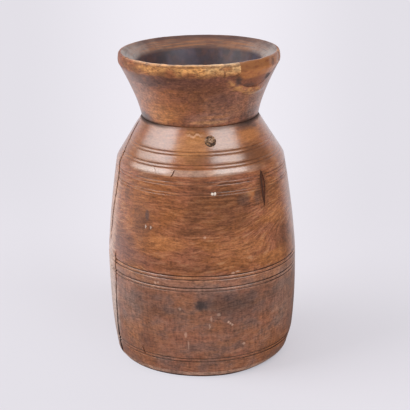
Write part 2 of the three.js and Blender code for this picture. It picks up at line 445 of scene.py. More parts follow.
def blade(name, path, depth):
    """A thin four-sided blade at the front, along a path of (across, radius, height, opening) points."""
    deselect_all()
    bpy.ops.mesh.primitive_circle_add(vertices=4, radius=1.0, fill_type="NGON")
    piece = bpy.context.object
    piece.name = name
    bpy.ops.object.mode_set(mode="EDIT")
    bpy.ops.mesh.select_all(action="SELECT")
    across, radius, height, opening = path[0]
    here = Vector((across, -radius, height))
    bpy.ops.transform.resize(value=(opening / 2, depth, 1.0), center_override=(0, 0, 0))
    bpy.ops.transform.translate(value=here)
    for across, radius, height, next_opening in path[1:]:
        there = Vector((across, -radius, height))
        bpy.ops.mesh.extrude_region_move(TRANSFORM_OT_translate={"value": there - here})
        bpy.ops.transform.resize(value=(next_opening / opening, 1.0, 1.0), center_override=there)
        here, opening = there, next_opening
    close_mesh()
    return piece


def turn_to(piece, azimuth):
    """Turns a piece that was made at the front round the axis to its azimuth."""
    pick(piece)
    piece.rotation_euler.z = math.radians(azimuth)
    bpy.ops.object.transform_apply(location=True, rotation=True, scale=True)
    return piece


def join_pieces(pieces):
    """Makes one object of several."""
    pick(pieces[0])
    for piece in pieces[1:]:
        piece.select_set(True)
    bpy.ops.object.join()
    return pieces[0]


def cut(piece, cutter, operation="DIFFERENCE"):
    """Takes a cutter out of a piece, or keeps only what lies inside it."""
    pick(piece)
    change = piece.modifiers.new("cut", "BOOLEAN")
    change.operation = operation
    change.solver = "EXACT"
    change.object = cutter
    bpy.ops.object.modifier_apply(modifier=change.name)
    bpy.data.objects.remove(cutter, do_unlink=True)


def weigh(piece, share_at):
    """A vertex group with the share that a function gives at each point."""
    group = piece.vertex_groups.new(name="share")
    for vertex in piece.data.vertices:
        group.add([vertex.index], share_at(vertex.co), "REPLACE")
    return group.name


def shift_surface(piece, move, share_at):
    """Moves each point by the share that a function gives there."""
    pick(piece)
    group = weigh(piece, share_at)
    for axis, amount in zip("XYZ", move):
        if abs(amount) < WELD:
            continue
        change = piece.modifiers.new("shift", "DISPLACE")
        change.direction = axis
        change.strength = amount
        change.mid_level = 0.0
        change.vertex_group = group
        bpy.ops.object.modifier_apply(modifier=change.name)
    piece.vertex_groups.clear()


def roughen(piece, size, depth, share_at=None):
    """Makes the shape uneven with clouds of one size, everywhere or by a share at each point."""
    pick(piece)
    change = piece.modifiers.new("uneven", "DISPLACE")
    change.texture = bpy.data.textures.new("uneven", "CLOUDS")
    change.texture.cloud_type = "COLOR"
    change.texture.noise_scale = size
    change.texture_coords = "LOCAL"
    change.direction = "RGB_TO_XYZ"
    change.strength = depth
    change.mid_level = 0.5
    if share_at:
        change.vertex_group = weigh(piece, share_at)
    bpy.ops.object.modifier_apply(modifier=change.name)
    piece.vertex_groups.clear()


def out_from(azimuth, distance):
    """A level move outwards at an azimuth."""
    turn = math.radians(azimuth)
    return Vector((distance * math.sin(turn), -distance * math.cos(turn), 0.0))


def settle(piece, node, material):
    """Warps and smooths a piece, gives it its finish and puts it in the place of its solid."""
    roughen(piece, WARP_SIZE, WARP_DEPTH)
    pick(piece)
    bpy.ops.object.shade_smooth_by_angle(angle=SMOOTH_ANGLE)
    piece.data.materials.clear()
    piece.data.materials.append(material)
    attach(piece, "root")
    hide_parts(node)


def spread(low, high, count):
    """Evenly spaced numbers from low to high, both ends included."""
    return [low + (high - low) * i / count for i in range(count + 1)]


def arc(centre_radius, centre_height, radius, start, end, count):
    """Points of (radius, height) on an arc, with its angles in degrees from outwards to upwards."""
    turns = [math.radians(angle) for angle in spread(start, end, count)]
    return [(centre_radius + radius * math.cos(t), centre_height + radius * math.sin(t)) for t in turns]


def bezier(start, first, second, end, count):
    """Points on a cubic curve between two ends."""
    points = []
    for t in spread(0.0, 1.0, count):
        shares = ((1 - t) ** 3, 3 * t * (1 - t) ** 2, 3 * t * t * (1 - t), t**3)
        corners = list(zip(shares, (start, first, second, end)))
        points.append(tuple(sum(share * corner[axis] for share, corner in corners) for axis in (0, 1)))
    return points


def soft_min(first, second, reach):
    """The smaller of two numbers, rounded over where they are within reach of each other."""
    share = min(max(0.5 + 0.5 * (second - first) / reach, 0.0), 1.0)
    return second + (first - second) * share - reach * share * (1 - share)


def smooth(value, low, high):
    """0 below low, 1 above high, and eased between them."""
    share = min(max((value - low) / (high - low), 0.0), 1.0)
    return share * share * (3 - 2 * share)


def azimuth_of(point):
    """Azimuth of a point in degrees."""
    return math.degrees(math.atan2(point.x, -point.y))


def hump(point, azimuth, height, width, tall):
    """1 at a place on the surface, falling to 0 at half its width in degrees and half its height away."""
    across = (azimuth_of(point) - azimuth) * 2 / width
    up = (point.z - height) * 2 / tall
    return 1 - smooth(math.hypot(across, up), 0.0, 1.0)


# Body

CUT_LINES = (
    # height, depth and half width of each turned line
    (0.0166, 0.0007, 0.0008),
    (0.0194, 0.0007, 0.0008),
    (0.0806, 0.0006, 0.0008),
    (0.0834, 0.0010, 0.0009),
    (0.0906, 0.0008, 0.0008),
    (0.0936, 0.0010, 0.0009),
    (0.1602, 0.00028, 0.0006),
    (0.1624, 0.00028, 0.0006),
    (0.1682, 0.00028, 0.0006),
    (0.1708, 0.00028, 0.0006),
    (0.1809, 0.0004, 0.0005),
    (0.1833, 0.00044, 0.0005),
    (0.1903, 0.00036, 0.0005),
    (0.1927, 0.00044, 0.0005),
)
LINE_STEPS = (-1.4, -1.0, -0.5, 0.0, 0.5, 1.0, 1.4)
LINE_FALL = 1.6  # how steeply a line's sides fall
LOWER_BOW = 2.75  # how the wall bows below the belly
UPPER_BOW = 1.4  # and above it

UPPER_CRACK = (
    # azimuth, height and opening along the drying crack from the neck to the belt
    (-84.0, 0.2130, 0.0008),
    (-80.5, 0.1970, 0.0009),
    (-75.2, 0.1850, 0.0011),
    (-72.4, 0.1760, 0.0013),
    (-71.0, 0.1670, 0.0014),
    (-72.4, 0.1510, 0.0015),
    (-75.0, 0.1370, 0.0014),
    (-76.6, 0.1220, 0.0012),
    (-78.0, 0.1060, 0.0004),
)
LOWER_CRACK = (
    # azimuth, height and opening from the belt to the foot
    (-65.8, 0.1000, 0.0004),
    (-66.0, 0.0970, 0.0011),
    (-66.1, 0.0780, 0.0014),
    (-67.3, 0.0640, 0.0015),
    (-68.6, 0.0450, 0.0017),
    (-71.0, 0.0220, 0.0023),
    (-71.2, 0.0080, 0.0028),
    (-71.0, -0.0020, 0.0030),
)
CRACKS_MEET = 0.1  # height between the two cracks
CRACK_SWAY = (0.0, 0.2, -0.15, 0.1)  # degrees to either side along each stretch
CRACK_DEPTH = 8 * MM
CHECK_DEPTH = 2.2 * MM

# Wood behind the crack, which stands proud
LIP_AZIMUTH = -90.0
LIP_PROUD = 0.5 * MM
LIP_TOP = 0.205
LIP_FADE = (-125.0, -85.0)

# Checks and dents
CHECKS = (
    # short checks: azimuth, height and opening along each
    ((-18.4, 0.1800, 0.0004), (-18.5, 0.1785, 0.0010), (-19.4, 0.1760, 0.0012), (-20.4, 0.1744, 0.0004)),
    ((-33.2, 0.1800, 0.0003), (-32.3, 0.1778, 0.0006), (-31.4, 0.1755, 0.0003)),
    ((-42.6, 0.0250, 0.0004), (-41.4, 0.0215, 0.0017), (-40.8, 0.0185, 0.0014), (-40.4, 0.0160, 0.0004)),
)
DENTS = (
    # azimuth, height, width in degrees and height of soft dents
    (24.0, 0.0300, 6.0, 0.007),
    (-29.0, 0.0855, 7.0, 0.007),
    (20.0, 0.0955, 9.0, 0.006),
    (-52.0, 0.0380, 24.0, 0.024),
    (58.0, 0.1240, 22.0, 0.030),
    (132.0, 0.0880, 12.0, 0.012),
    (-150.0, 0.1760, 12.0, 0.008),
    (170.0, 0.1300, 16.0, 0.020),
)
DENT_DEPTH = 0.35 * MM

# Worn edge of the foot
WEAR_AZIMUTH = 65.0
WEAR_IN = 2.2 * MM
WEAR_UP = 1.2 * MM
WEAR_START = (10.0, 55.0)
WEAR_END = (100.0, 145.0)
WEAR_HEIGHTS = (3 * MM, 24 * MM)
WEAR_RADII = (61 * MM, 69 * MM)

# Inside of the body, and steps along its outline
ARRIS_REACH = 2 * MM
SEAT_THICKNESS = 5 * MM
INSIDE_DROP = 8 * MM
INSIDE_RISE = 18 * MM
LEDGE_WIDTH = 5.5 * MM
LEDGE_THICKNESS = 5 * MM
EDGE_STEPS = 8
WALL_STEPS = 86
SEAM_STEPS = 5
INSIDE_STEPS = 20

# Seats of the knot and the bark
KNOT_AZIMUTH = 8.3
KNOT_HEIGHT = 0.2005
KNOT_EDGE = -0.35 * MM
KNOT_SINK = 0.95
KNOT_RIPPLE = 0.28
KNOT_RINGS = 17
SEAT_PAST = 2 * MM
SEAT_SIDES = 48
BARK_AZIMUTH = 43.3
BARK_HEIGHT = 0.160
BARK_THIN = 0.15 * MM
BARK_PAST = 9 * MM


def body_radius(sizes, height):
    """Radius of the body's outside at a height, before its lines are cut."""
    slope = (sizes.shoulder_radius - sizes.neck_radius) / (sizes.neck_height - sizes.shoulder_height)
    cone = sizes.shoulder_radius - slope * (height - sizes.shoulder_height)
    if height <= sizes.belly_height:
        down = (sizes.belly_height - height) / sizes.belly_height
        return sizes.belly_radius - (sizes.belly_radius - sizes.foot_radius) * down**LOWER_BOW
    up = (height - sizes.belly_height) / (sizes.shoulder_height - sizes.belly_height)
    wall = sizes.belly_radius - (sizes.belly_radius - sizes.shoulder_radius) * up**UPPER_BOW
    return soft_min(wall, cone, sizes.shoulder_edge)


def line_depth(height):
    """Depth of the turned lines at a height: a narrow cut with worn lips."""
    depths = []
    for line, depth, half in CUT_LINES:
        share = max(0.0, 1 - abs(height - line) / (max(LINE_STEPS) * half))
        depths.append(depth * share**LINE_FALL)
    return max(depths)


def body_outside(sizes):
    """The body's outside from under the foot's edge up to the neck seam."""
    foot = sizes.foot_edge
    edge = arc(body_radius(sizes, foot) - foot, foot, foot, -90, 0, EDGE_STEPS)
    top = sizes.neck_height - sizes.seam_edge
    heights = spread(foot + 2 * MM, top - MM, WALL_STEPS)
    for line, _, half in CUT_LINES:
        heights += [line + step * half for step in LINE_STEPS]
    shoulder = sizes.shoulder_height
    heights += spread(shoulder - ARRIS_REACH, shoulder + ARRIS_REACH, EDGE_STEPS)
    wall = [(body_radius(sizes, height) - line_depth(height), height) for height in sorted(set(heights))]
    seam = arc(body_radius(sizes, top) - sizes.seam_edge, top, sizes.seam_edge, 20, 90, SEAM_STEPS)
    return [*edge, *wall, *seam]


def body_inside(sizes):
    """The body's inside from the neck seam down: the collar's socket, the hollow and the foot disc's hole."""
    socket = sizes.throat_radius + sizes.spigot_wall + sizes.joint_gap
    seat = sizes.spigot_foot - sizes.joint_gap
    heights = spread(sizes.shoulder_height - INSIDE_DROP, sizes.disc_top + INSIDE_RISE, INSIDE_STEPS)
    hollow = [(body_radius(sizes, height) - sizes.wall, height) for height in heights]
    hole = sizes.disc_radius + 1.5 * sizes.joint_gap
    ledge = hole - LEDGE_WIDTH
    ledge_foot = sizes.disc_top + sizes.joint_gap
    return [
        (socket, sizes.neck_height),
        (socket, seat),
        (sizes.throat_radius, seat),
        (sizes.throat_radius, seat - SEAT_THICKNESS),
        *hollow,
        (ledge, ledge_foot + LEDGE_THICKNESS),
        (ledge, ledge_foot),
        (hole - sizes.disc_taper, ledge_foot),
        (hole, 0.0),
    ]


def body_outline(sizes):
    """The body's closed outline, up the outside and down the inside."""
    outside = body_outside(sizes)
    return [*outside, *body_inside(sizes), outside[0]]


def wander(path):
    """A path of (azimuth, height, opening) points with three small turns to either side on each stretch."""
    steps = []
    for start, end in zip(path, path[1:]):
        for share, sway in zip(spread(0.0, 0.75, 3), CRACK_SWAY):
            azimuth, height, opening = [a + (b - a) * share for a, b in zip(start, end)]
            steps.append((azimuth + sway, height, opening * (1 + 0.5 * sway)))
    return [*steps, path[-1]]


def crack_blade(sizes, name, path, depth):
    """A blade along a path of (azimuth, height, opening) points on the body."""
    middle = sum(azimuth for azimuth, _, _ in path) / len(path)
    steps = []
    for azimuth, height, opening in path:
        turn = math.radians(azimuth - middle)
        radius = body_radius(sizes, height)
        steps.append((radius * math.sin(turn), radius * math.cos(turn), height, opening))
    return turn_to(blade(name, steps, depth), middle)


def shoulder_slope(sizes):
    """Angle of the shoulder's face from upright, in radians."""
    return math.atan2(
        sizes.shoulder_radius - sizes.neck_radius, sizes.neck_height - sizes.shoulder_height
    )


def set_in_shoulder(sizes, piece):
    """Puts a piece made at the origin, pointing up, into the shoulder at the knot's place."""
    turn = math.radians(KNOT_AZIMUTH)
    radius = body_radius(sizes, KNOT_HEIGHT)
    pick(piece)
    piece.location = (radius * math.sin(turn), -radius * math.cos(turn), KNOT_HEIGHT)
    piece.rotation_euler = (math.pi / 2 - shoulder_slope(sizes), 0.0, turn)
    bpy.ops.object.transform_apply(location=True, rotation=True, scale=True)
    return piece


def knot_outline(sizes):
    """The knot's outline: a tapered plug with a raised ring and a sunken, ringed face."""
    face = []
    for share in spread(0.0, 0.94, 14):
        rings = KNOT_RIPPLE * math.cos(share * KNOT_RINGS)
        face.append((sizes.knot_radius * share, (0.05 - KNOT_SINK * (1 - share**4) + rings) * MM))
    foot = [(sizes.knot_point, -sizes.knot_depth), (0.0, -sizes.knot_depth)]
    return [*face, (sizes.knot_radius, KNOT_EDGE), *foot]


def seat_outline(sizes):
    """The knot's seat: the tapered plug carried on past the surface."""
    room = sizes.joint_gap / 2
    return [
        (0.0, SEAT_PAST),
        (sizes.knot_radius + room, SEAT_PAST),
        (sizes.knot_radius + room, 0.0),
        (sizes.knot_point + room, -sizes.knot_depth - room),
        (0.0, -sizes.knot_depth - room),
    ]


def bark_outline(sizes, room):
    """The bark pocket's outline: a drop, fuller above its middle and drawn out below."""
    right = []
    for share in spread(0.0, 1.0, 20):
        fullness = math.sin(math.pi * share**1.35) ** 0.8 if 0 < share < 1 else 0.0
        half = max(sizes.bark_width / 2 * fullness, BARK_THIN) + room
        right.append((half, BARK_HEIGHT + (share - 0.5) * (sizes.bark_length + 2 * room)))
    left = [(-half, height) for half, height in reversed(right)]
    return [*right, *left]


def bark_block(sizes, name, room):
    """The block that the bark is cut along."""
    surface = body_radius(sizes, BARK_HEIGHT)
    depth = sizes.bark_depth + room
    piece = block(name, bark_outline(sizes, room), surface + BARK_PAST, surface - depth)
    return turn_to(piece, BARK_AZIMUTH)


def behind_crack(point):
    """Share by which the wood behind the drying crack stands proud, fading towards the back."""
    path = UPPER_CRACK if point.z > CRACKS_MEET else LOWER_CRACK
    line = path[0][0]
    for (start, high, _), (end, low, _) in zip(path, path[1:]):
        if low <= point.z <= high:
            line = end + (start - end) * (point.z - low) / (high - low)
    azimuth = azimuth_of(point)
    if azimuth > line or point.z > LIP_TOP:
        return 0.0
    return smooth(azimuth, *LIP_FADE)


def foot_wear(point):
    """Share by which the foot's edge is worn away at the right."""
    azimuth = azimuth_of(point)
    side = smooth(azimuth, *WEAR_START) * (1 - smooth(azimuth, *WEAR_END))
    low = 1 - smooth(point.z, *WEAR_HEIGHTS)
    return side * low * smooth(math.hypot(point.x, point.y), *WEAR_RADII)


def turn_body(sizes, name):
    """Turns the body, wears it, then opens its crack and checks and cuts the seat of the knot."""
    piece = turn_outline(name, body_outline(sizes), sizes.sides)
    shift_surface(piece, out_from(LIP_AZIMUTH, LIP_PROUD), behind_crack)
    worn_back = out_from(WEAR_AZIMUTH, -WEAR_IN) + Vector((0.0, 0.0, WEAR_UP))
    shift_surface(piece, worn_back, foot_wear)
    for azimuth, height, width, tall in DENTS:
        dent = out_from(azimuth, -DENT_DEPTH)
        shift_surface(piece, dent, lambda point: hump(point, azimuth, height, width, tall))
    cutters = [
        crack_blade(sizes, "upper_crack", wander(UPPER_CRACK), CRACK_DEPTH),
        crack_blade(sizes, "lower_crack", wander(LOWER_CRACK), CRACK_DEPTH),
        set_in_shoulder(sizes, turn_outline("knot_seat", seat_outline(sizes), SEAT_SIDES)),
    ]
    for path in CHECKS:
        cutters.append(crack_blade(sizes, "check", path, CHECK_DEPTH))
    cut(piece, join_pieces(cutters))
    return piece


def model_body(sizes):
    """The turned body, with the seat of the bark cut out of it."""
    piece = turn_body(sizes, "vase_body")
    cut(piece, bark_block(sizes, "bark_seat", sizes.joint_gap / 2))
    return piece


# Collar and rim repair

FLARE = 1.36
FLARE_STEPS = 40
FUNNEL_STEPS = 28
BAND_INSET = 0.9 * MM
BAND_SHAPE = (
    # how far in and how far up each point of the rim's band lies, in mm
    (0.35, 0.8),
    (0.1, 1.8),
    (0.0, 3.0),
    (0.0, 4.2),
    (0.1, 5.4),
    (0.3, 6.6),
)
ROUND_INSET = 0.4 * MM  # the rounded lip above the band
ROUND_RADIUS = 2.2 * MM
MOUTH_INSET = 1.1 * MM

# Ridge along the repair's lower edge, with its height and rise in mm
RIDGE_HEIGHT = 237.5
RIDGE_TURN = 52.0
RIDGE_RISE = 0.0115
RIDGE_START = 18.0
RIDGE_END = 62.0
RIDGE_FADE = 8.0
RIDGE_HALF = 3.2 * MM
RIDGE_MIDDLE = 44.0
RIDGE_SWELL = 1.1 * MM

# Hollow at the lower end of the repair's joint
HOLLOW = (29.5, 0.2505, 12.0, 0.014)  # azimuth, height, width in degrees and height of the hollow
HOLLOW_AZIMUTH = 30.0
HOLLOW_DEPTH = 1.8 * MM

# Chips of the rim
CHIP_SIZE = 7 * MM
CHIP_DEPTH = 0.8 * MM
CHIP_HEIGHTS = (0.250, 0.258)
CHIP_FRONT = (60.0, 110.0)

# Middle of the collar's wall, between its outside and its inside
WALL_MIDDLE = 0.043
WALL_SPREAD = 0.0175
WALL_FOOT = 0.21
WALL_RISE = 0.0455

# Repair and its cutter
PATCH_AZIMUTH = 53.8
PATCH_PAST = 4 * MM
PATCH_OUT = 12 * MM
PATCH_IN = 20 * MM
PATCH_STEPS = 24
SINK_FADE = (40.0, 60.0)
SINK_LOSS = 0.8


def flared(low, high, shares, bow=FLARE):
    """Points between a low and a high (radius, height), at shares of the rise, with the radius bowed."""
    radius, height = low
    wider, rise = high[0] - radius, high[1] - height
    return [(radius + wider * share**bow, height + rise * share) for share in shares]


def collar_outline(sizes):
    """The collar's closed outline: flare, rim, bevel, funnel and spigot."""
    seam = sizes.neck_height + sizes.joint_gap / 4
    band_foot = sizes.lip_height - sizes.rim_band
    edge = (sizes.rim_radius - BAND_INSET, band_foot)
    flare = flared((sizes.neck_radius, seam), edge, spread(0.02, 1.0, FLARE_STEPS))
    band = [(sizes.rim_radius - inset * MM, band_foot + rise * MM) for inset, rise in BAND_SHAPE]
    centre = sizes.rim_radius - ROUND_INSET - ROUND_RADIUS
    band += arc(centre, sizes.lip_height - ROUND_RADIUS, ROUND_RADIUS, 8, 112, 9)
    mouth = (sizes.rim_radius - MOUTH_INSET - sizes.bevel_width, sizes.lip_height - sizes.bevel_drop)
    bevel = flared(band[-1], mouth, spread(0.1, 0.6, 6), 1)
    funnel = flared((sizes.throat_radius, seam), mouth, spread(0.86, 0.0, FUNNEL_STEPS))
    bevel += bezier(bevel[-1], mouth, mouth, funnel[0], 12)[1:-1]
    spigot = sizes.throat_radius + sizes.spigot_wall
    return [
        (spigot, seam),
        (sizes.neck_radius - 0.4 * MM, seam),
        (sizes.neck_radius - 0.1 * MM, seam + 0.3 * MM),
        *flare,
        *band,
        *bevel,
        *funnel,
        (sizes.throat_radius, sizes.spigot_foot),
        (spigot, sizes.spigot_foot),
        (spigot, seam),
    ]


def patch_outline(sizes, room):
    """The repair's outline: a straight joint at the left and a bow below, carried on past the lip."""
    half = sizes.patch_width / 2 + room
    lip = sizes.lip_height
    above = lip + PATCH_PAST
    depth = sizes.patch_depth + room
    bow = bezier(
        (-half, lip - sizes.patch_edge),
        (-half * 0.7, lip - depth * 1.35),
        (half * 0.5, lip - depth * 1.2),
        (half, lip),
        PATCH_STEPS,
    )
    return [(-half, above), *bow, (half, above)]


def patch_block(sizes, name, room):
    """The block that the repair is cut along."""
    piece = block(name, patch_outline(sizes, room), sizes.rim_radius + PATCH_OUT, PATCH_IN)
    return turn_to(piece, PATCH_AZIMUTH)


def outside_only(point):
    """1 on the outside of the flare and the band, 0 on the bevel and inside."""
    middle = WALL_MIDDLE + WALL_SPREAD * max(0.0, (point.z - WALL_FOOT) / WALL_RISE) ** FLARE
    return smooth(math.hypot(point.x, point.y), middle, middle + 2 * MM)


def below_repair(point):
    """Share by which the collar swells along the repair's lower edge."""
    azimuth = azimuth_of(point)
    ridge = (RIDGE_HEIGHT + RIDGE_RISE * max(0.0, RIDGE_TURN - azimuth) ** 2) * MM
    along = smooth(azimuth, RIDGE_START, RIDGE_START + RIDGE_FADE)
    along *= 1 - smooth(azimuth, RIDGE_END - RIDGE_FADE, RIDGE_END + RIDGE_FADE)
    return along * (1 - smooth(abs(point.z - ridge), 0.0, RIDGE_HALF)) * outside_only(point)


def joint_hollow(point):
    """Share of the dark hollow at the lower end of the repair's joint."""
    return hump(point, *HOLLOW) * outside_only(point)


def repair_sink(point):
    """Share by which the repair lies below the collar: whole at its joint, little at its right end."""
    return outside_only(point) * (1 - SINK_LOSS * smooth(azimuth_of(point), *SINK_FADE))


def rim_wear(point):
    """Share by which the rim's band is worn uneven, most at the front."""
    front = 1 - smooth(abs(azimuth_of(point)), *CHIP_FRONT)
    return (0.1 + 0.9 * smooth(point.z, *CHIP_HEIGHTS)) * (0.25 + 0.75 * front)


def turn_collar(sizes, name):
    """Turns the collar, wears its rim, swells it along the repair's lower edge and presses in the hollow."""
    piece = turn_outline(name, collar_outline(sizes), sizes.sides)
    roughen(piece, CHIP_SIZE, CHIP_DEPTH, rim_wear)
    shift_surface(piece, out_from(RIDGE_MIDDLE, RIDGE_SWELL), below_repair)
    shift_surface(piece, out_from(HOLLOW_AZIMUTH, -HOLLOW_DEPTH), joint_hollow)
    return piece


def model_collar(sizes):
    """The turned collar, with the seat of the repair cut out of it."""
    piece = turn_collar(sizes, "vase_collar")
    cut(piece, patch_block(sizes, "repair_seat", sizes.joint_gap / 4))
    return piece


def model_patch(sizes):
    """Cuts the repair out of a sunken collar, so that it follows the collar's shape."""
    piece = turn_collar(sizes, "vase_repair")
    shift_surface(piece, out_from(PATCH_AZIMUTH, -sizes.patch_sink), repair_sink)
    cut(piece, patch_block(sizes, "repair_block", 0.0), "INTERSECT")
    return piece


# Small pieces

KNOT_SIDES = 64
KNOT_GRIT = 1.3 * MM
KNOT_ROUGH = 0.7 * MM
KNOT_FACE = (-1.6 * MM, -0.6 * MM)
BARK_SINK = 0.5 * MM
DISC_SIDES = 192
DISC_EDGE = 0.6 * MM
DISC_STEPS = 60
DISC_RINGS = 92.0
RING_DEPTH = 0.12 * MM


def model_knot(sizes):
    """Turns the dead knot, roughens its face and sets it in the shoulder."""
    piece = turn_outline("vase_knot", knot_outline(sizes), KNOT_SIDES)
    roughen(piece, KNOT_GRIT, KNOT_ROUGH, lambda point: smooth(point.z, *KNOT_FACE))
    return set_in_shoulder(sizes, piece)


def model_bark(sizes):
    """Cuts the drop of bark out of a sunken body, so that it follows the body's shape."""
    piece = turn_body(sizes, "vase_bark")
    shift_surface(piece, out_from(BARK_AZIMUTH, -BARK_SINK), lambda point: 1.0)
    cut(piece, bark_block(sizes, "bark_block", 0.0), "INTERSECT")
    return piece


def disc_outline(sizes):
    """The foot disc's outline, with shallow turning rings on its underside."""
    under = []
    for share in spread(0.0, 0.985, DISC_STEPS):
        rings = RING_DEPTH * (1 + math.cos(share * DISC_RINGS)) * smooth(share, 0.02, 0.1)
        under.append((sizes.disc_radius * share - DISC_EDGE * share, sizes.disc_foot + rings))
    top = sizes.disc_radius - sizes.disc_taper
    return [
        *under,
        (sizes.disc_radius - DISC_EDGE, sizes.disc_foot),
        (sizes.disc_radius, sizes.disc_foot + DISC_EDGE),
        (top, sizes.disc_top - DISC_EDGE),
        (top - DISC_EDGE, sizes.disc_top),
        (0.0, sizes.disc_top),
    ]


def model_disc(sizes):
    """Turns the foot disc."""
    return turn_outline("vase_disc", disc_outline(sizes), DISC_SIDES)


# Finishes

# Heights in mm between which one finish passes into another
BELT_FADE = (98.0, 82.0)
SHOULDER_FADE = (172.0, 177.0)
# Heights between which the foot darkens into a painted contact shadow:
FOOT_SHADE = (3.8, 2.4)
BODY_SEAM = (207.4, 210.2)
COLLAR_SEAM = (213.6, 210.8)
COLLAR_WORN = (253.8, 255.8)
REPAIR_WORN = (248.5, 252.5)
MOUTH_FADE = (254.2, 258.6)

BODY_MARKS = (
    # azimuth, height in mm, width in degrees, height of the mark in mm, colour, share
    (-30.0, 142.0, 44.0, 64.0, "heart", 0.4),
    (-2.0, 158.0, 12.0, 44.0, "dark", 0.6),
    (-7.0, 142.0, 9.0, 20.0, "dark", 0.5),
    (16.0, 150.0, 30.0, 42.0, "dark", 0.65),
    (-6.0, 130.5, 22.0, 6.0, "dark", 0.75),
    (50.0, 207.0, 28.0, 6.0, "stain_and_shade", 0.65),
    (27.5, 154.5, 9.0, 10.0, "stain_and_shade", 0.5),
    (38.5, 154.0, 6.0, 12.0, "stain_and_shade", 0.55),
    (43.0, 160.0, 9.0, 36.0, "dark", 0.7),
    (-56.0, 154.0, 5.0, 12.0, "dark", 0.7),
    (-40.0, 134.0, 14.0, 28.0, "dark", 0.65),
    (-36.0, 141.0, 3.0, 9.0, "stain_and_shade", 0.7),
    (-58.0, 112.0, 24.0, 22.0, "plum", 0.55),
    (-44.0, 103.0, 36.0, 12.0, "plum", 0.45),
    (-10.0, 100.0, 40.0, 7.0, "dark", 0.5),
    (60.0, 114.0, 20.0, 20.0, "dark", 0.55),
    (54.0, 136.0, 24.0, 14.0, "warm", 0.45),
    (24.0, 116.0, 36.0, 14.0, "warm", 0.45),
    (48.0, 102.0, 26.0, 9.0, "warm", 0.5),
    (-22.0, 120.0, 26.0, 12.0, "warm", 0.5),
    (-6.0, 196.0, 30.0, 24.0, "worn", 0.36),
    (46.0, 201.0, 34.0, 10.0, "warm", 0.8),
    (44.0, 186.0, 30.0, 18.0, "dark", 0.75),
    (-1.5, 69.0, 7.5, 10.0, "stain_and_shade", 0.8),
    (12.0, 68.0, 32.0, 20.0, "stain_and_shade", 0.5),
    (22.0, 60.0, 22.0, 40.0, "stain_and_shade", 0.28),
    (38.0, 68.0, 30.0, 30.0, "stain_and_shade", 0.3),
    (-34.0, 66.0, 30.0, 30.0, "stain_and_shade", 0.28),
    (-52.0, 58.0, 24.0, 40.0, "ash_and_highlight", 0.3),
    (58.0, 60.0, 22.0, 54.0, "ash_and_highlight", 0.35),
    (-50.0, 36.0, 24.0, 20.0, "warm", 0.3),
    (-38.0, 32.0, 12.0, 18.0, "plum", 0.5),
    (50.0, 18.0, 40.0, 14.0, "heart", 0.7),
    (1.0, 187.0, 26.0, 8.0, "dark", 0.55),
    # The next two are a painted reflection along the wall's left edge, beside the crack.
    (-77.0, 130.0, 20.0, 90.0, "graze_and_reflection", 0.42),
    (-76.0, 56.0, 20.0, 84.0, "nick_and_highlight", 0.38),
    (88.0, 100.0, 44.0, 140.0, "ash_and_highlight", 0.3),
    # The next two grey the wood where the shoulder's highlights fall, as part of the painted highlights.
    (-38.0, 190.0, 34.0, 36.0, "ash_and_highlight", 0.3),
    (18.0, 190.0, 24.0, 36.0, "ash_and_highlight", 0.3),
)
BODY_NICKS_AND_GLINTS = (
    # azimuth, height in mm, width in degrees, height in mm and share of bright nicks: fresh wood with a
    # painted glint
    (6.9, 161.4, 1.7, 2.5, 1.0),
    (8.6, 161.4, 1.7, 2.5, 1.0),
    (-36.8, 131.5, 1.0, 3.2, 0.5),
    (-33.0, 131.5, 1.0, 2.6, 0.45),
)
BODY_FLECKS = (
    # the same for fine scratches
    (1.5, 126.5, 1.6, 2.2, 0.5),
    (18.0, 95.2, 2.2, 1.6, 0.6),
    (21.0, 96.0, 2.8, 1.4, 0.6),
    (-29.4, 85.4, 1.4, 2.8, 0.6),
    (-27.4, 86.2, 1.4, 2.0, 0.6),
    (-14.0, 65.0, 1.4, 2.6, 0.4),
    (-11.0, 42.0, 1.7, 4.6, 0.45),
    (-9.5, 33.0, 0.8, 8.0, 0.4),
    (4.5, 56.5, 1.0, 4.6, 0.4),
    (3.5, 50.0, 0.9, 5.0, 0.45),
    (9.0, 60.0, 2.0, 2.6, 0.4),
    (14.8, 52.6, 1.1, 2.0, 0.7),
    (16.0, 51.2, 1.1, 2.0, 0.7),
    (17.2, 49.8, 1.1, 2.0, 0.6),
    (25.0, 30.5, 2.0, 2.2, 0.5),
)
DARK_LINE = 0.8 * MM  # a cut line of this depth is as dark as its dirt

# Torn place beside the knot, with a painted shadow above its edge, in degrees and mm
TEAR = (-5.5, 204.8, 14.0, 10.0)
TEAR_FOOT = 200.8
TEAR_RISE = 7.0

# Swirl of the grain at the right, and its waves, in mm
SWIRL_SIDE = 5.0
SWIRL_RISE = 0.0064
SWIRL_TOP = 162.0
SWIRL_MIDDLE = 128.0
SWIRL_FOOT = 94.0
WAVE = 22.0


def level_grain(surface):
    """Height along the grain in mm: level, gently waved, and swept up round the swirl at the right."""
    waves = surface.noise(surface.stretch(58.0, 44.0), 2.0, 0.45)
    sideways = surface.larger(surface.x - SWIRL_SIDE, 0.0)
    fade = surface.ease(surface.z, SWIRL_TOP, SWIRL_MIDDLE)
    fade = fade * surface.ease(surface.z, SWIRL_FOOT, SWIRL_MIDDLE)
    return surface.z - sideways * sideways * SWIRL_RISE * fade + waves * WAVE


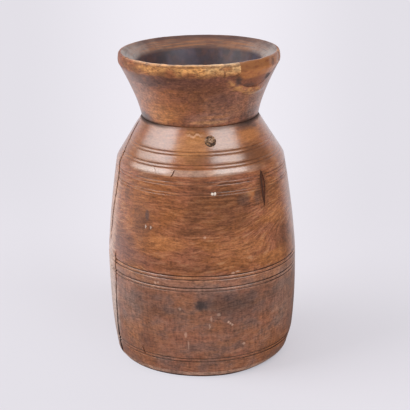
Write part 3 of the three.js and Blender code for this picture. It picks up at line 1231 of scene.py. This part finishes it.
def old_wood(surface, woods, figure, weave):
    """Colour, light and dark, relief and clouds of waxed wood with level strokes and upright streaks."""
    grain = level_grain(surface)
    clouds = surface.noise(surface.stretch(34.0, 16.0), 3.0, 0.6)
    strokes = surface.noise(surface.join(surface.x / 11.0, surface.y / 11.0, grain / 1.6), 3.0, 0.55)
    hairs = surface.noise(surface.join(surface.x / 2.2, surface.y / 2.2, surface.z / 0.9), 2.0, 0.65)
    rays = surface.noise(surface.stretch(2.4, 9.0), 4.0, 0.65)
    shade = surface.blend(surface.ease(clouds, 0.38, 0.62), woods.rose, woods.heart)
    shade = surface.blend(surface.ease(strokes, 0.5, 0.3) * figure * 0.4, shade, woods.dark)
    shade = surface.blend(surface.ease(strokes, 0.5, 0.7) * figure * 0.45, shade, woods.fleck)
    light = 1.0 + surface.spread_out(strokes, -0.24, 0.24) * figure
    light = light + surface.spread_out(hairs, -0.26, 0.26)
    light = light + surface.spread_out(rays, -1.0, 1.0) * weave
    relief = strokes * 0.4 * figure + hairs * 0.4 + rays * weave
    return shade, light, relief, clouds


def lay_marks(surface, shade, woods, marks):
    """Lays soft, ragged marks over a colour, one after the other."""
    for azimuth, height, width, tall, name, share in marks:
        shade = surface.blend(surface.mark(azimuth, height, width, tall, share), shade, getattr(woods, name))
    return shade


def add_places(surface, mask, places, edge):
    """A mask with the marks at given places added to it."""
    for azimuth, height, width, tall, share in places:
        mask = surface.larger(mask, surface.mark(azimuth, height, width, tall, share, edge))
    return mask


def scratches(surface):
    """Mask of the fine scratches at their places, and of others scattered all over."""
    _, around, upright = surface.charts[0]
    spots = surface.cells(surface.join(around / 9.0, upright / 11.0))
    here = surface.noise(surface.stretch(40.0, 40.0), 2.0)
    mask = surface.ease(spots, 0.08, 0.03) * surface.ease(here, 0.5, 0.62, 0.0, 0.25)
    return add_places(surface, mask, BODY_FLECKS, 0.8)


def lay_wear_and_painted_light(surface, woods, shade, patchy):
    """Lays a painted shadow above the place torn beside the knot, pale wood where it is torn, on the belt and
    on the foot's edge, and a painted highlight along the shoulder's edge.
    """
    jagged = surface.noise(surface.join(surface.azimuth / 5.0, surface.z / 30.0), 2.0, 0.6)
    tear = surface.mark(*TEAR)
    above = surface.z - TEAR_FOOT - jagged * TEAR_RISE
    torn = surface.ease(surface.absolute(above), 1.2, 0.4) * tear * 0.38
    # painted shadow above the torn edge
    shadow = surface.ease(surface.absolute(above - 1.7), 1.1, 0.3) * tear * 0.6
    shade = surface.blend(shadow, shade, woods.dark)
    rubbed = surface.larger(torn, surface.ring(87.0, 4.0, 6.0) * 0.08)
    rubbed = surface.larger(rubbed, surface.ring(5.2, 0.8, 1.6) * surface.ease(patchy, 0.3, 0.6, 0.1, 0.5))
    shade = surface.blend(rubbed, shade, woods.graze_and_reflection)
    # painted highlight along the shoulder's edge
    arris_highlight = surface.ring(177.6, 1.6, 1.4) * surface.mark(-8.0, 177.6, 90.0, 40.0, 0.2)
    return surface.blend(arris_highlight, shade, woods.nick_and_highlight)


def cut_line_mask(surface, patchy):
    """Mask of the dirt in the cut lines: strong at the right of the wall, weak behind the crack."""
    lines = 0.0
    for line, depth, half in CUT_LINES:
        strength = min(1.0, depth / DARK_LINE)
        lines = surface.larger(lines, surface.ring(line / MM, half / MM * 0.1, half / MM * 0.5) * strength)
    right = surface.ease(surface.toward(75.0), 0.78, 0.93) * surface.ease(surface.z, 172.0, 178.0, 0.9, -0.6)
    left = surface.ease(surface.toward(-95.0), 0.875, 0.9)
    return lines * surface.ease(patchy, 0.3, 0.55, 0.7, 0.95) * (1.0 + right) * (1.0 - left * 0.7)


def seam_mask(surface, clouds, sway, heights, front):
    """Mask of the dirt at the neck seam: whole at the sides, and a share of it at the front."""
    aside = surface.absolute(surface.waver(surface.azimuth, clouds, 30.0))
    sides = surface.ease(aside, 20.0, 50.0, front, 1.0)
    return surface.ease(surface.waver(surface.z, clouds, sway), *heights) * sides


def body_finish(woods):
    """Waxed wood with dark cut lines, stains, nicks and a greyer belly, with painted highlights and
    reflections and a painted contact shadow at the foot.
    """
    surface = Surface("waxed_body_wood")
    figure = surface.ease(surface.z, 78.0, 96.0, 0.65, 1.0) * surface.ease(surface.z, 174.0, 180.0, 1.0, 0.7)
    weave = surface.ease(surface.z, 100.0, 76.0, 0.08, 0.2)
    shade, light, relief, clouds = old_wood(surface, woods, figure, weave)
    patchy = surface.noise(surface.stretch(18.0, 11.0), 3.0, 0.6)
    shade = surface.blend(surface.ease(patchy, 0.46, 0.34, 0.0, 0.3), shade, woods.dark)
    low = surface.ease(surface.waver(surface.z, clouds, 20.0), *BELT_FADE)
    shade = surface.blend(low * 0.3, shade, woods.rose)
    shade = surface.blend(low * surface.ease(patchy, 0.5, 0.36, 0.15, 0.6), shade, woods.plum)
    shade = surface.blend(low * surface.ease(patchy, 0.4, 0.62, 0.3, 0.1), shade, woods.ash_and_highlight)
    shade = lay_marks(surface, shade, woods, BODY_MARKS)
    shade = lay_wear_and_painted_light(surface, woods, shade, patchy)
    polished = surface.ease(surface.z, *SHOULDER_FADE)
    shade = surface.lit(shade, 1.0 + (light - 1.0) * (1.0 - polished * 0.4))
    lines = cut_line_mask(surface, patchy)
    shade = surface.blend(lines, shade, woods.grime_and_shade)
    seam = seam_mask(surface, clouds, 5.0, BODY_SEAM, 0.5)
    shade = surface.blend(seam * 0.9, shade, woods.grime_and_shade)
    # painted contact shadow on the foot's underside
    foot = surface.ease(surface.waver(surface.z, patchy, 2.0), *FOOT_SHADE)
    shade = surface.blend(foot * 0.9, shade, woods.grime_and_shade)
    inside = surface.ease(surface.outward, 0.05, -0.05) * surface.ease(surface.upward, 0.9, 0.7)
    shade = surface.blend(inside, shade, woods.inside)
    shade = surface.blend(scratches(surface), shade, woods.graze_and_reflection)
    # nicks of fresh wood with a painted glint
    shade = surface.blend(add_places(surface, 0.0, BODY_NICKS_AND_GLINTS, 0.7), shade, woods.nick_and_highlight)
    dull = surface.larger(lines, surface.larger(seam, foot))
    roughness = surface.waver(0.3, clouds, 0.12) + low * 0.1 + dull * 0.4 - polished * 0.06
    coat = (0.45 + polished * 0.4 - low * 0.15) * (1.0 - dull)
    return surface.finish(shade, roughness, relief, 0.1, coat)


COLLAR_MARKS = (
    # azimuth, height in mm, width in degrees, height of the mark in mm, colour, share
    (-42.0, 226.0, 54.0, 28.0, "warm", 0.45),
    (-38.0, 220.0, 30.0, 14.0, "worn", 0.2),
    (-15.0, 249.0, 70.0, 12.0, "plum", 0.7),
    (-45.0, 249.0, 40.0, 10.0, "stain_and_shade", 0.4),
    (4.0, 240.0, 44.0, 20.0, "dark", 0.6),
    (28.0, 228.0, 50.0, 28.0, "ash_and_highlight", 0.22),
    (8.0, 217.0, 40.0, 10.0, "ash_and_highlight", 0.3),
    (20.0, 232.0, 26.0, 14.0, "plum", 0.5),
    (53.0, 216.0, 24.0, 14.0, "stain_and_shade", 0.6),
    (58.0, 228.0, 24.0, 24.0, "ash_and_highlight", 0.45),
    (-66.0, 214.0, 26.0, 7.0, "stain_and_shade", 0.8),
    (-54.0, 238.0, 30.0, 20.0, "ash_and_highlight", 0.3),
    (8.0, 214.6, 34.0, 3.2, "worn", 0.35),
    (14.0, 219.0, 30.0, 3.0, "warm", 0.45),
)
BAND_MARKS = (
    # the same for the rim's band
    (-20.0, 258.0, 8.0, 9.0, "repair", 0.8),
    (-27.0, 257.0, 9.0, 6.0, "dark", 0.6),
    (-50.0, 259.0, 12.0, 5.0, "dark", 0.6),
    (-40.0, 261.5, 12.0, 4.0, "worn", 0.5),
    (-63.0, 260.0, 10.0, 6.0, "dark", 0.5),
    (-6.0, 257.0, 10.0, 4.0, "repair", 0.6),
    (17.3, 256.0, 1.4, 8.0, "dark", 0.8),
    (19.0, 261.2, 8.0, 3.6, "heart", 0.75),
)
HOLLOW_MARK = (249.5, 5.0, 8.0, 0.75, 0.9)  # height in mm, width in degrees, height, share and softness
REPAIR_NOTCHES_AND_SHADE = (
    # azimuth, height in mm, width in degrees, height in mm and share of the dark places of the repair
    (62.0, 248.0, 7.0, 6.0, 0.8),
    (62.5, 260.0, 4.0, 9.0, 0.5),
    # dark spots and a painted shadow just above the ridge
    (40.0, 244.0, 16.0, 4.0, 0.5),
)


def mouth_colour(surface, woods, clouds):
    """Colour of the bevel, whose grey at the sides is a painted reflection, with its turning streaks, and of
    the dark mouth below it with painted bluish reflections.
    """
    turning = surface.noise(surface.join(surface.x / 24.0, surface.y / 24.0, surface.reach / 1.1), 3.0, 0.65)
    mottle = surface.noise(surface.stretch(12.0, 12.0), 4.0, 0.65)
    aside = surface.waver(surface.absolute(surface.azimuth), mottle, 36.0)
    behind = surface.ease(aside, 70.0, 160.0)
    # the grey at the bevel's sides is a painted reflection; behind, the bevel passes into dark wood
    bevel = surface.blend(behind * 0.85, woods.bevel, woods.dark)
    bevel = surface.blend(surface.ease(turning, 0.4, 0.7) * (0.1 + behind * 0.6), bevel, woods.warm)
    bevel = surface.blend(surface.ease(turning, 0.5, 0.34) * 0.35, bevel, woods.inside)
    bevel = surface.blend(surface.ease(mottle, 0.44, 0.64) * (0.2 + behind * 0.25), bevel, woods.plum)
    edge = surface.ease(surface.z, 261.8, 263.6) * behind
    bevel = surface.blend(edge * 0.6, bevel, woods.inside)
    deep = surface.blend(surface.ease(mottle, 0.42, 0.66) * 0.5, woods.inside, woods.plum)
    # painted bluish reflections in upright streaks inside the mouth
    bloom = surface.noise(surface.stretch(16.0, 30.0), 3.0, 0.55)
    deep = surface.blend(surface.ease(bloom, 0.42, 0.66) * 0.4, deep, woods.painted_mouth_sheen)
    return surface.blend(surface.ease(surface.waver(surface.z, clouds, 2.5), *MOUTH_FADE), deep, bevel)


def rim_noise(surface):
    """The ragged and the flaky noise of the worn rim."""
    ragged = surface.noise(surface.stretch(9.0, 4.0), 4.0, 0.7)
    flakes = surface.noise(surface.stretch(7.0, 3.2), 4.0, 0.7)
    return ragged, flakes


def ridge_highlight(surface, ragged):
    """Mask of the painted highlight along the ridge at the repair's lower edge."""
    before = surface.larger(RIDGE_TURN - surface.azimuth, 0.0)
    height = RIDGE_HEIGHT + before * before * RIDGE_RISE
    away = surface.absolute(surface.waver(surface.z - height, ragged, 9.0))
    ridge = surface.ease(away, 4.4, 1.0)
    ridge = ridge * surface.ease(surface.azimuth, RIDGE_START, RIDGE_START + 6.0)
    return ridge * surface.ease(surface.azimuth, RIDGE_END, RIDGE_END - 14.0)


def rim_band(surface, woods, ragged, flakes, specks, pits):
    """Colour of the rim's worn band: bare and palest at the right front, redder at the left, with creases, a
    dark line just below its top and a painted highlight along the top.
    """
    drift = (flakes - 0.5) * 1.6
    band = surface.blend(surface.ease(surface.toward(15.0) + drift, 0.0, 0.95), woods.repair, woods.worn)
    pale = surface.ease(surface.toward(25.0) + drift * 0.2, 0.9, 1.0)
    pale = pale * surface.ease(surface.z, 256.5, 261.0, 0.15, 0.5)
    band = surface.blend(pale, band, woods.cream)
    lower = surface.ease(surface.waver(surface.z, ragged, 8.0), 260.5, 255.5)
    band = surface.blend(lower * 0.5, band, woods.repair)
    band = lay_marks(surface, band, woods, BAND_MARKS)
    creases = surface.noise(surface.stretch(5.0, 0.9), 3.0, 0.6)
    band = surface.blend(surface.ease(creases, 0.48, 0.36) * 0.75, band, woods.dark)
    band = surface.blend(pits * surface.ease(flakes, 0.56, 0.44) * 0.7, band, woods.bark)
    band = surface.lit(band, surface.spread_out(specks, 0.64, 1.38))
    ahead = surface.ease(surface.absolute(surface.azimuth), 75.0, 45.0)
    # a dark line just below the top of the lip
    dark_line_below_lip = surface.ring(263.2, 0.5, 0.7) * surface.ease(flakes, 0.36, 0.52) * ahead
    band = surface.blend(dark_line_below_lip * 0.55, band, woods.dark)
    # painted highlight along the top of the lip
    crest_highlight = surface.ease(surface.upward, 0.5, 0.75) * surface.ease(surface.z, 264.0, 264.6) * ahead
    return surface.blend(crest_highlight * 0.2, band, woods.nick_and_highlight)


def collar_finish(woods):
    """Waxed wood, worn bare at the rim, with dirt at the seam, dirt and painted shade under the rim's band,
    painted highlights along the lip and the ridge, and a dark mouth.
    """
    surface = Surface("waxed_collar_wood")
    shade, light, relief, clouds = old_wood(surface, woods, 0.3, 0.1)
    mouth = mouth_colour(surface, woods, clouds)
    mottle = surface.noise(surface.stretch(9.0, 7.0), 4.0, 0.65)
    shade = surface.blend(surface.ease(mottle, 0.4, 0.6, 0.1, 0.5), shade, woods.plum)
    shade = lay_marks(surface, shade, woods, COLLAR_MARKS)
    shade = surface.blend(surface.ease(mottle, 0.56, 0.7) * 0.35, shade, woods.warm)
    turned = surface.noise(surface.stretch(26.0, 1.0), 2.0, 0.6)
    specks = surface.noise(surface.stretch(4.0, 3.2), 4.0, 0.7)
    light = light * surface.spread_out(turned, 0.92, 1.16) * surface.spread_out(specks, 0.84, 1.38)
    shade = surface.lit(shade, light)
    ragged, flakes = rim_noise(surface)
    pits = surface.ease(surface.cells(surface.stretch(3.4, 1.7)), 0.34, 0.14)
    ridge = ridge_highlight(surface, ragged)
    worn = surface.ease(surface.waver(surface.z, ragged, 9.0), *COLLAR_WORN)
    band = rim_band(surface, woods, ragged, flakes, specks, pits)
    # darker under the rim's band: dirt and painted shade
    under = surface.ease(surface.waver(surface.z, clouds, 10.0), 247.0, 256.0) * 0.3
    shade = surface.blend(under, shade, woods.grime_and_shade)
    shade = surface.blend(worn, shade, band)
    # painted highlight along the ridge below the repair
    shade = surface.blend(ridge * surface.ease(flakes, 0.42, 0.58, 0.1, 0.75), shade, woods.worn)
    hollow = surface.mark(29.5, *HOLLOW_MARK)
    shade = surface.blend(hollow, shade, woods.stain_and_shade)
    seam = seam_mask(surface, clouds, 4.0, COLLAR_SEAM, 0.15)
    shade = surface.blend(seam * 0.85, shade, woods.grime_and_shade)
    inward = surface.ease(surface.outward, 0.1, -0.2)
    shade = surface.blend(inward, shade, mouth)
    dull = surface.larger(seam, hollow)
    roughness = surface.waver(0.34, clouds, 0.2) + dull * 0.3 + worn * 0.1 + inward * 0.18
    coat = 0.4 * (1.0 - surface.larger(dull, surface.larger(worn, inward * 0.7)))
    return surface.finish(shade, roughness, relief - pits * worn * 0.8, 0.2, coat)


def repair_finish(woods):
    """Redder waxed wood, dark in the hollow and notches along its edges, with dark spots and a painted shadow
    just above the ridge below it.
    """
    surface = Surface("repair_wood")
    shade, light, relief, clouds = old_wood(surface, woods, 0.35, 0.12)
    mouth = mouth_colour(surface, woods, clouds)
    shade = surface.lit(surface.blend(0.4, shade, woods.plum), light)
    ragged, flakes = rim_noise(surface)
    worn = surface.ease(surface.waver(surface.z, ragged, 6.0), *REPAIR_WORN)
    band = surface.blend(surface.ease(flakes, 0.3, 0.54), woods.repair, woods.warm)
    band = surface.lit(band, surface.ease(surface.waver(surface.z, ragged, 5.0), 255.8, 259.4, 1.22, 0.74))
    shade = surface.blend(worn * 0.9, shade, band)
    shade = surface.blend(surface.mark(52.0, 247.0, 16.0, 10.0, 0.45), shade, woods.rose)
    # dark hollow and notches, and a painted shadow just above the ridge
    dark = add_places(surface, surface.mark(30.0, *HOLLOW_MARK), REPAIR_NOTCHES_AND_SHADE, 0.7)
    shade = surface.blend(dark, shade, woods.stain_and_shade)
    inward = surface.ease(surface.outward, 0.1, -0.2)
    shade = surface.blend(inward, shade, mouth)
    roughness = surface.waver(0.34, clouds, 0.2) + dark * 0.3 + inward * 0.04
    return surface.finish(shade, roughness, relief, 0.2, 0.3 * (1.0 - dark))


def knot_finish(woods):
    """Dead, rough wood with pale flecks."""
    surface = Surface("dead_knot")
    grit = surface.noise(surface.stretch(1.6, 1.6), 3.0, 0.7)
    cracks = surface.noise(surface.stretch(3.2, 2.6), 2.0, 0.6)
    shade = surface.blend(surface.ease(grit, 0.4, 0.56), woods.knot, woods.fleck)
    middle = surface.mark(KNOT_AZIMUTH, KNOT_HEIGHT / MM, 10.0, 8.4, 1.0, 0.6)
    shade = surface.blend((1.0 - middle) * 0.8, shade, woods.bark)
    shade = surface.blend(surface.ease(cracks, 0.5, 0.42) * 0.9, shade, woods.grime_and_shade)
    shade = surface.blend(surface.ease(cracks, 0.56, 0.64) * 0.6, shade, woods.graze_and_reflection)
    return surface.finish(shade, 0.6 + grit * 0.2, grit, 0.5)


def bark_finish(woods):
    """Dark ridged bark with a black split down its middle."""
    surface = Surface("dark_bark")
    grit = surface.noise(surface.stretch(0.9, 5.0), 4.0, 0.7)
    shade = surface.blend(surface.ease(grit, 0.4, 0.66), woods.bark, woods.dark)
    split = surface.absolute(surface.waver(surface.azimuth - BARK_AZIMUTH, grit, 3.0))
    shade = surface.blend(surface.ease(split, 1.2, 0.4) * 0.65, shade, woods.grime_and_shade)
    return surface.finish(shade, 0.75 + grit * 0.2, grit, 0.5)


def disc_finish(woods):
    """Dry bare wood with turning rings and dirt."""
    surface = Surface("bare_disc_wood")
    grain = surface.noise(surface.vector("MULTIPLY", surface.place, (1 / 1.2, 1 / 26.0, 1 / 8.0)), 3.0)
    dirt = surface.noise(surface.stretch(24.0, 24.0), 4.0, 0.65)
    shade = surface.blend(surface.spread_out(grain), woods.dark, woods.bare)
    shade = surface.blend(surface.ease(dirt, 0.45, 0.7) * 0.6, shade, woods.stain_and_shade)
    return surface.finish(shade, 0.75 - grain * 0.1, grain, 0.3)


# Pieces


class VASE_OT_body(bpy.types.Operator):
    """Turn the body with its cut lines, crack and checks"""

    bl_idname = "vase.body"
    bl_label = "Body"

    def execute(self, context):
        piece = model_body(context.scene.vase_sizes)
        settle(piece, "body", body_finish(context.scene.vase_woods))
        return {"FINISHED"}


class VASE_OT_bark(bpy.types.Operator):
    """Let the drop of bark into the body"""

    bl_idname = "vase.bark"
    bl_label = "Bark pocket"

    def execute(self, context):
        piece = model_bark(context.scene.vase_sizes)
        settle(piece, "bark_pocket", bark_finish(context.scene.vase_woods))
        return {"FINISHED"}


class VASE_OT_collar(bpy.types.Operator):
    """Turn the flared collar with its bevelled rim"""

    bl_idname = "vase.collar"
    bl_label = "Collar"

    def execute(self, context):
        piece = model_collar(context.scene.vase_sizes)
        settle(piece, "neck_collar", collar_finish(context.scene.vase_woods))
        return {"FINISHED"}


class VASE_OT_repair(bpy.types.Operator):
    """Let the repair into the rim"""

    bl_idname = "vase.repair"
    bl_label = "Rim repair"

    def execute(self, context):
        piece = model_patch(context.scene.vase_sizes)
        settle(piece, "rim_patch", repair_finish(context.scene.vase_woods))
        return {"FINISHED"}


class VASE_OT_knot(bpy.types.Operator):
    """Set the dead knot in the shoulder"""

    bl_idname = "vase.knot"
    bl_label = "Knot"

    def execute(self, context):
        piece = model_knot(context.scene.vase_sizes)
        settle(piece, "shoulder_knot", knot_finish(context.scene.vase_woods))
        return {"FINISHED"}


class VASE_OT_disc(bpy.types.Operator):
    """Close the foot with its disc"""

    bl_idname = "vase.disc"
    bl_label = "Foot disc"

    def execute(self, context):
        piece = model_disc(context.scene.vase_sizes)
        settle(piece, "base_disc", disc_finish(context.scene.vase_woods))
        return {"FINISHED"}


# Stage

CAMERA_PLACE = Vector((0.0, -1.1, 0.4808))
CAMERA_PITCH = math.radians(17.72)
CAMERA_YAW = math.radians(0.15)
CAMERA_ROLL = math.radians(-0.99)
CAMERA_LENS = 117.98
SENSOR = 36.0
LIGHT_TARGET = Vector((0.0, 0.0, 0.19))
DIM_ROOM = 0.15
FLOOR_SIZE = 12.0
FLOOR_GLOW = 0.47
FLOOR_SHARE = 0.95
FLOOR_NEAR_FAR = (0.1, 0.7)
# Towards this side the floor glows more: painted light on the side that the left soft box lights
FLOOR_BRIGHT_SIDE = Vector((-0.8, -0.7, 0.0))
FLOOR_BRIGHT = 0.9
FLOOR_FACING = (-0.3, 1.0)
# Painted pool of light on the floor behind the vase
POOL_GAIN = 1.14
POOL_EDGE = 0.14
POOL_MIDDLE = 0.02
POOL_FRONT_BACK = (-0.06, 0.25)
FLOOR_BACK_FRONT = (0.26, -0.04)
FLOOR_LEAN = 0.5
ROOM_BACK_FRONT = (0.85, 0.35)
BLACK = (0.0, 0.0, 0.0, 1.0)
WHITE = (1.0, 1.0, 1.0, 1.0)
SOFT_BOXES = (
    # name, azimuth, elevation, distance, width, height, side that it runs off to (-1 left, 1 right), spread
    ("left_box", -50, 41, 1.3, 2.0, 0.6, -1, 130),
    ("right_box", 21, 45.5, 1.5, 1.22, 0.45, 1, 180),
)


def add_camera():
    """Puts the camera where the photograph was taken from."""
    deselect_all()
    bpy.ops.object.camera_add(location=CAMERA_PLACE)
    camera = bpy.context.object
    level = Vector((math.sin(CAMERA_YAW), math.cos(CAMERA_YAW), 0.0))
    ahead = level * math.cos(CAMERA_PITCH) + Vector((0.0, 0.0, -math.sin(CAMERA_PITCH)))
    right = Vector((math.cos(CAMERA_YAW), -math.sin(CAMERA_YAW), 0.0))
    up = right.cross(ahead)
    rolled_right = right * math.cos(CAMERA_ROLL) + up * math.sin(CAMERA_ROLL)
    rolled_up = up * math.cos(CAMERA_ROLL) - right * math.sin(CAMERA_ROLL)
    axes = Matrix((rolled_right, rolled_up, -ahead)).transposed()
    camera.matrix_world = Matrix.Translation(CAMERA_PLACE) @ axes.to_4x4()
    camera.data.sensor_width = SENSOR
    camera.data.lens = CAMERA_LENS
    bpy.context.scene.camera = camera


def add_soft_box(watts, name, azimuth, elevation, distance, width, height, side, spread_angle):
    """A soft box whose near end faces the shoulder and which runs off level to one side."""
    turn, lift = math.radians(azimuth), math.radians(elevation)
    out = Vector((math.sin(turn) * math.cos(lift), -math.cos(turn) * math.cos(lift), math.sin(lift)))
    along = Vector((math.cos(turn), math.sin(turn), 0.0)) * side
    deselect_all()
    bpy.ops.object.light_add(type="AREA", location=LIGHT_TARGET + out * distance + along * width / 2)
    lamp = bpy.context.object
    lamp.name = name
    lamp.rotation_euler = out.to_track_quat("Z", "Y").to_euler()
    lamp.data.shape = "RECTANGLE"
    lamp.data.size = width
    lamp.data.size_y = height
    lamp.data.energy = watts
    lamp.data.spread = math.radians(spread_angle)


def floor_finish(backdrop):
    """Pale floor that keeps the vase's shadow, with a painted pool of light behind the vase and painted
    brightening towards the front left, plain further off and dimmer ahead in reflections.
    """
    material = bpy.data.materials.new("pale_floor")
    material.use_nodes = True
    nodes = Nodes(material.node_tree)
    place = nodes.node("ShaderNodeTexCoord", output="Object")
    away = nodes.vector("LENGTH", place, (0.0, 0.0, 0.0), "Value")
    sideways, back, _ = nodes.split(place)
    ahead = nodes.ease(back - sideways * FLOOR_LEAN, *FLOOR_BACK_FRONT)
    dim = ahead * nodes.node("ShaderNodeLightPath", output="Is Glossy Ray") * (1.0 - DIM_ROOM)
    lit = [channel * FLOOR_SHARE for channel in backdrop[:3]]
    plain = nodes.node("ShaderNodeBsdfDiffuse", None, {"Color": nodes.blend(dim, (*lit, 1.0), BLACK)})
    # painted pool of light behind the vase
    aside = nodes.absolute(sideways) / (back - CAMERA_PLACE.y)
    pool = nodes.ease(aside, POOL_EDGE, POOL_MIDDLE) * nodes.ease(back, *POOL_FRONT_BACK)
    bright = [channel * POOL_GAIN for channel in backdrop[:3]]
    pale = nodes.blend(pool, backdrop, (*bright, 1.0))
    glow = nodes.node("ShaderNodeEmission", None, {"Color": nodes.blend(dim, pale, BLACK), "Strength": 1.0})
    # the floor glows more towards the front left: painted light
    facing = nodes.vector("DOT_PRODUCT", place, FLOOR_BRIGHT_SIDE, "Value") / away
    near = nodes.ease(facing, *FLOOR_FACING, FLOOR_GLOW, FLOOR_BRIGHT)
    share = nodes.seen_or_mirrored() * nodes.ease(away, *FLOOR_NEAR_FAR, near, 1.0)
    mixed = nodes.node("ShaderNodeMixShader", None, {0: share, 1: plain, 2: glow})
    nodes.node("ShaderNodeOutputMaterial", None, {"Surface": mixed})
    return material


def add_floor(material):
    """A wide floor that belongs to the stage."""
    deselect_all()
    bpy.ops.mesh.primitive_plane_add(size=FLOOR_SIZE)
    floor = bpy.context.object
    floor.name = "floor"
    floor.data.materials.append(material)


def set_world(backdrop, strength):
    """A pale room: even light, the backdrop where it is seen, and a dimmer front in reflections."""
    world = bpy.data.worlds.new("pale_room")
    world.use_nodes = True
    bpy.context.scene.world = world
    nodes = Nodes(world.node_tree)
    ahead = nodes.split(nodes.node("ShaderNodeTexCoord", output="Generated"))[1]
    path = nodes.node("ShaderNodeLightPath", output="Is Glossy Ray")
    dim = nodes.ease(ahead, *ROOM_BACK_FRONT) * path * (1.0 - DIM_ROOM)
    pale = nodes.blend(dim, backdrop, BLACK)
    light = nodes.node("ShaderNodeBackground", None, {"Color": WHITE, "Strength": strength})
    seen = nodes.node("ShaderNodeBackground", None, {"Color": pale, "Strength": 1.0})
    mixed = nodes.node("ShaderNodeMixShader", None, {0: nodes.seen_or_mirrored(), 1: light, 2: seen})
    nodes.node("ShaderNodeOutputWorld", None, {"Surface": mixed})


class VASE_OT_stage(bpy.types.Operator):
    """Set the camera, the soft boxes, the room and the floor"""

    bl_idname = "vase.stage"
    bl_label = "Stage"

    def execute(self, context):
        light = context.scene.vase_light
        context.scene.view_settings.view_transform = "Standard"
        add_camera()
        for box, watts in zip(SOFT_BOXES, (light.left_power, light.right_power)):
            add_soft_box(watts, *box)
        set_world(light.backdrop, light.room_light)
        add_floor(floor_finish(light.backdrop))
        return {"FINISHED"}


# Sidebar


class VASE_PT_sidebar(bpy.types.Panel):
    """The vase's sizes, colours and light, and the steps that build it"""

    bl_label = "Turned Wooden Vase"
    bl_idname = "VASE_PT_sidebar"
    bl_space_type = "VIEW_3D"
    bl_region_type = "UI"
    bl_category = "Vase"

    def draw(self, context):
        scene = context.scene
        for values in (scene.vase_sizes, scene.vase_woods, scene.vase_light):
            for name in type(values).__annotations__:
                self.layout.prop(values, name)
        for operator in OPERATORS:
            self.layout.operator(operator.bl_idname)


GROUPS = (VaseSizes, VaseWoods, VaseLight)
OPERATORS = (
    VASE_OT_stage,
    VASE_OT_body,
    VASE_OT_bark,
    VASE_OT_collar,
    VASE_OT_repair,
    VASE_OT_knot,
    VASE_OT_disc,
)
CLASSES = (*GROUPS, *OPERATORS, VASE_PT_sidebar)


def register():
    for item in CLASSES:
        bpy.utils.register_class(item)
    bpy.types.Scene.vase_sizes = PointerProperty(type=VaseSizes)
    bpy.types.Scene.vase_woods = PointerProperty(type=VaseWoods)
    bpy.types.Scene.vase_light = PointerProperty(type=VaseLight)


def unregister():
    del bpy.types.Scene.vase_light
    del bpy.types.Scene.vase_woods
    del bpy.types.Scene.vase_sizes
    for item in reversed(CLASSES):
        bpy.utils.unregister_class(item)


def main():
    """Builds the whole vase on its stage."""
    register()
    bpy.ops.vase.stage()
    bpy.ops.vase.body()
    bpy.ops.vase.bark()
    bpy.ops.vase.collar()
    bpy.ops.vase.repair()
    bpy.ops.vase.knot()
    bpy.ops.vase.disc()


if __name__ == "__main__":
    main()
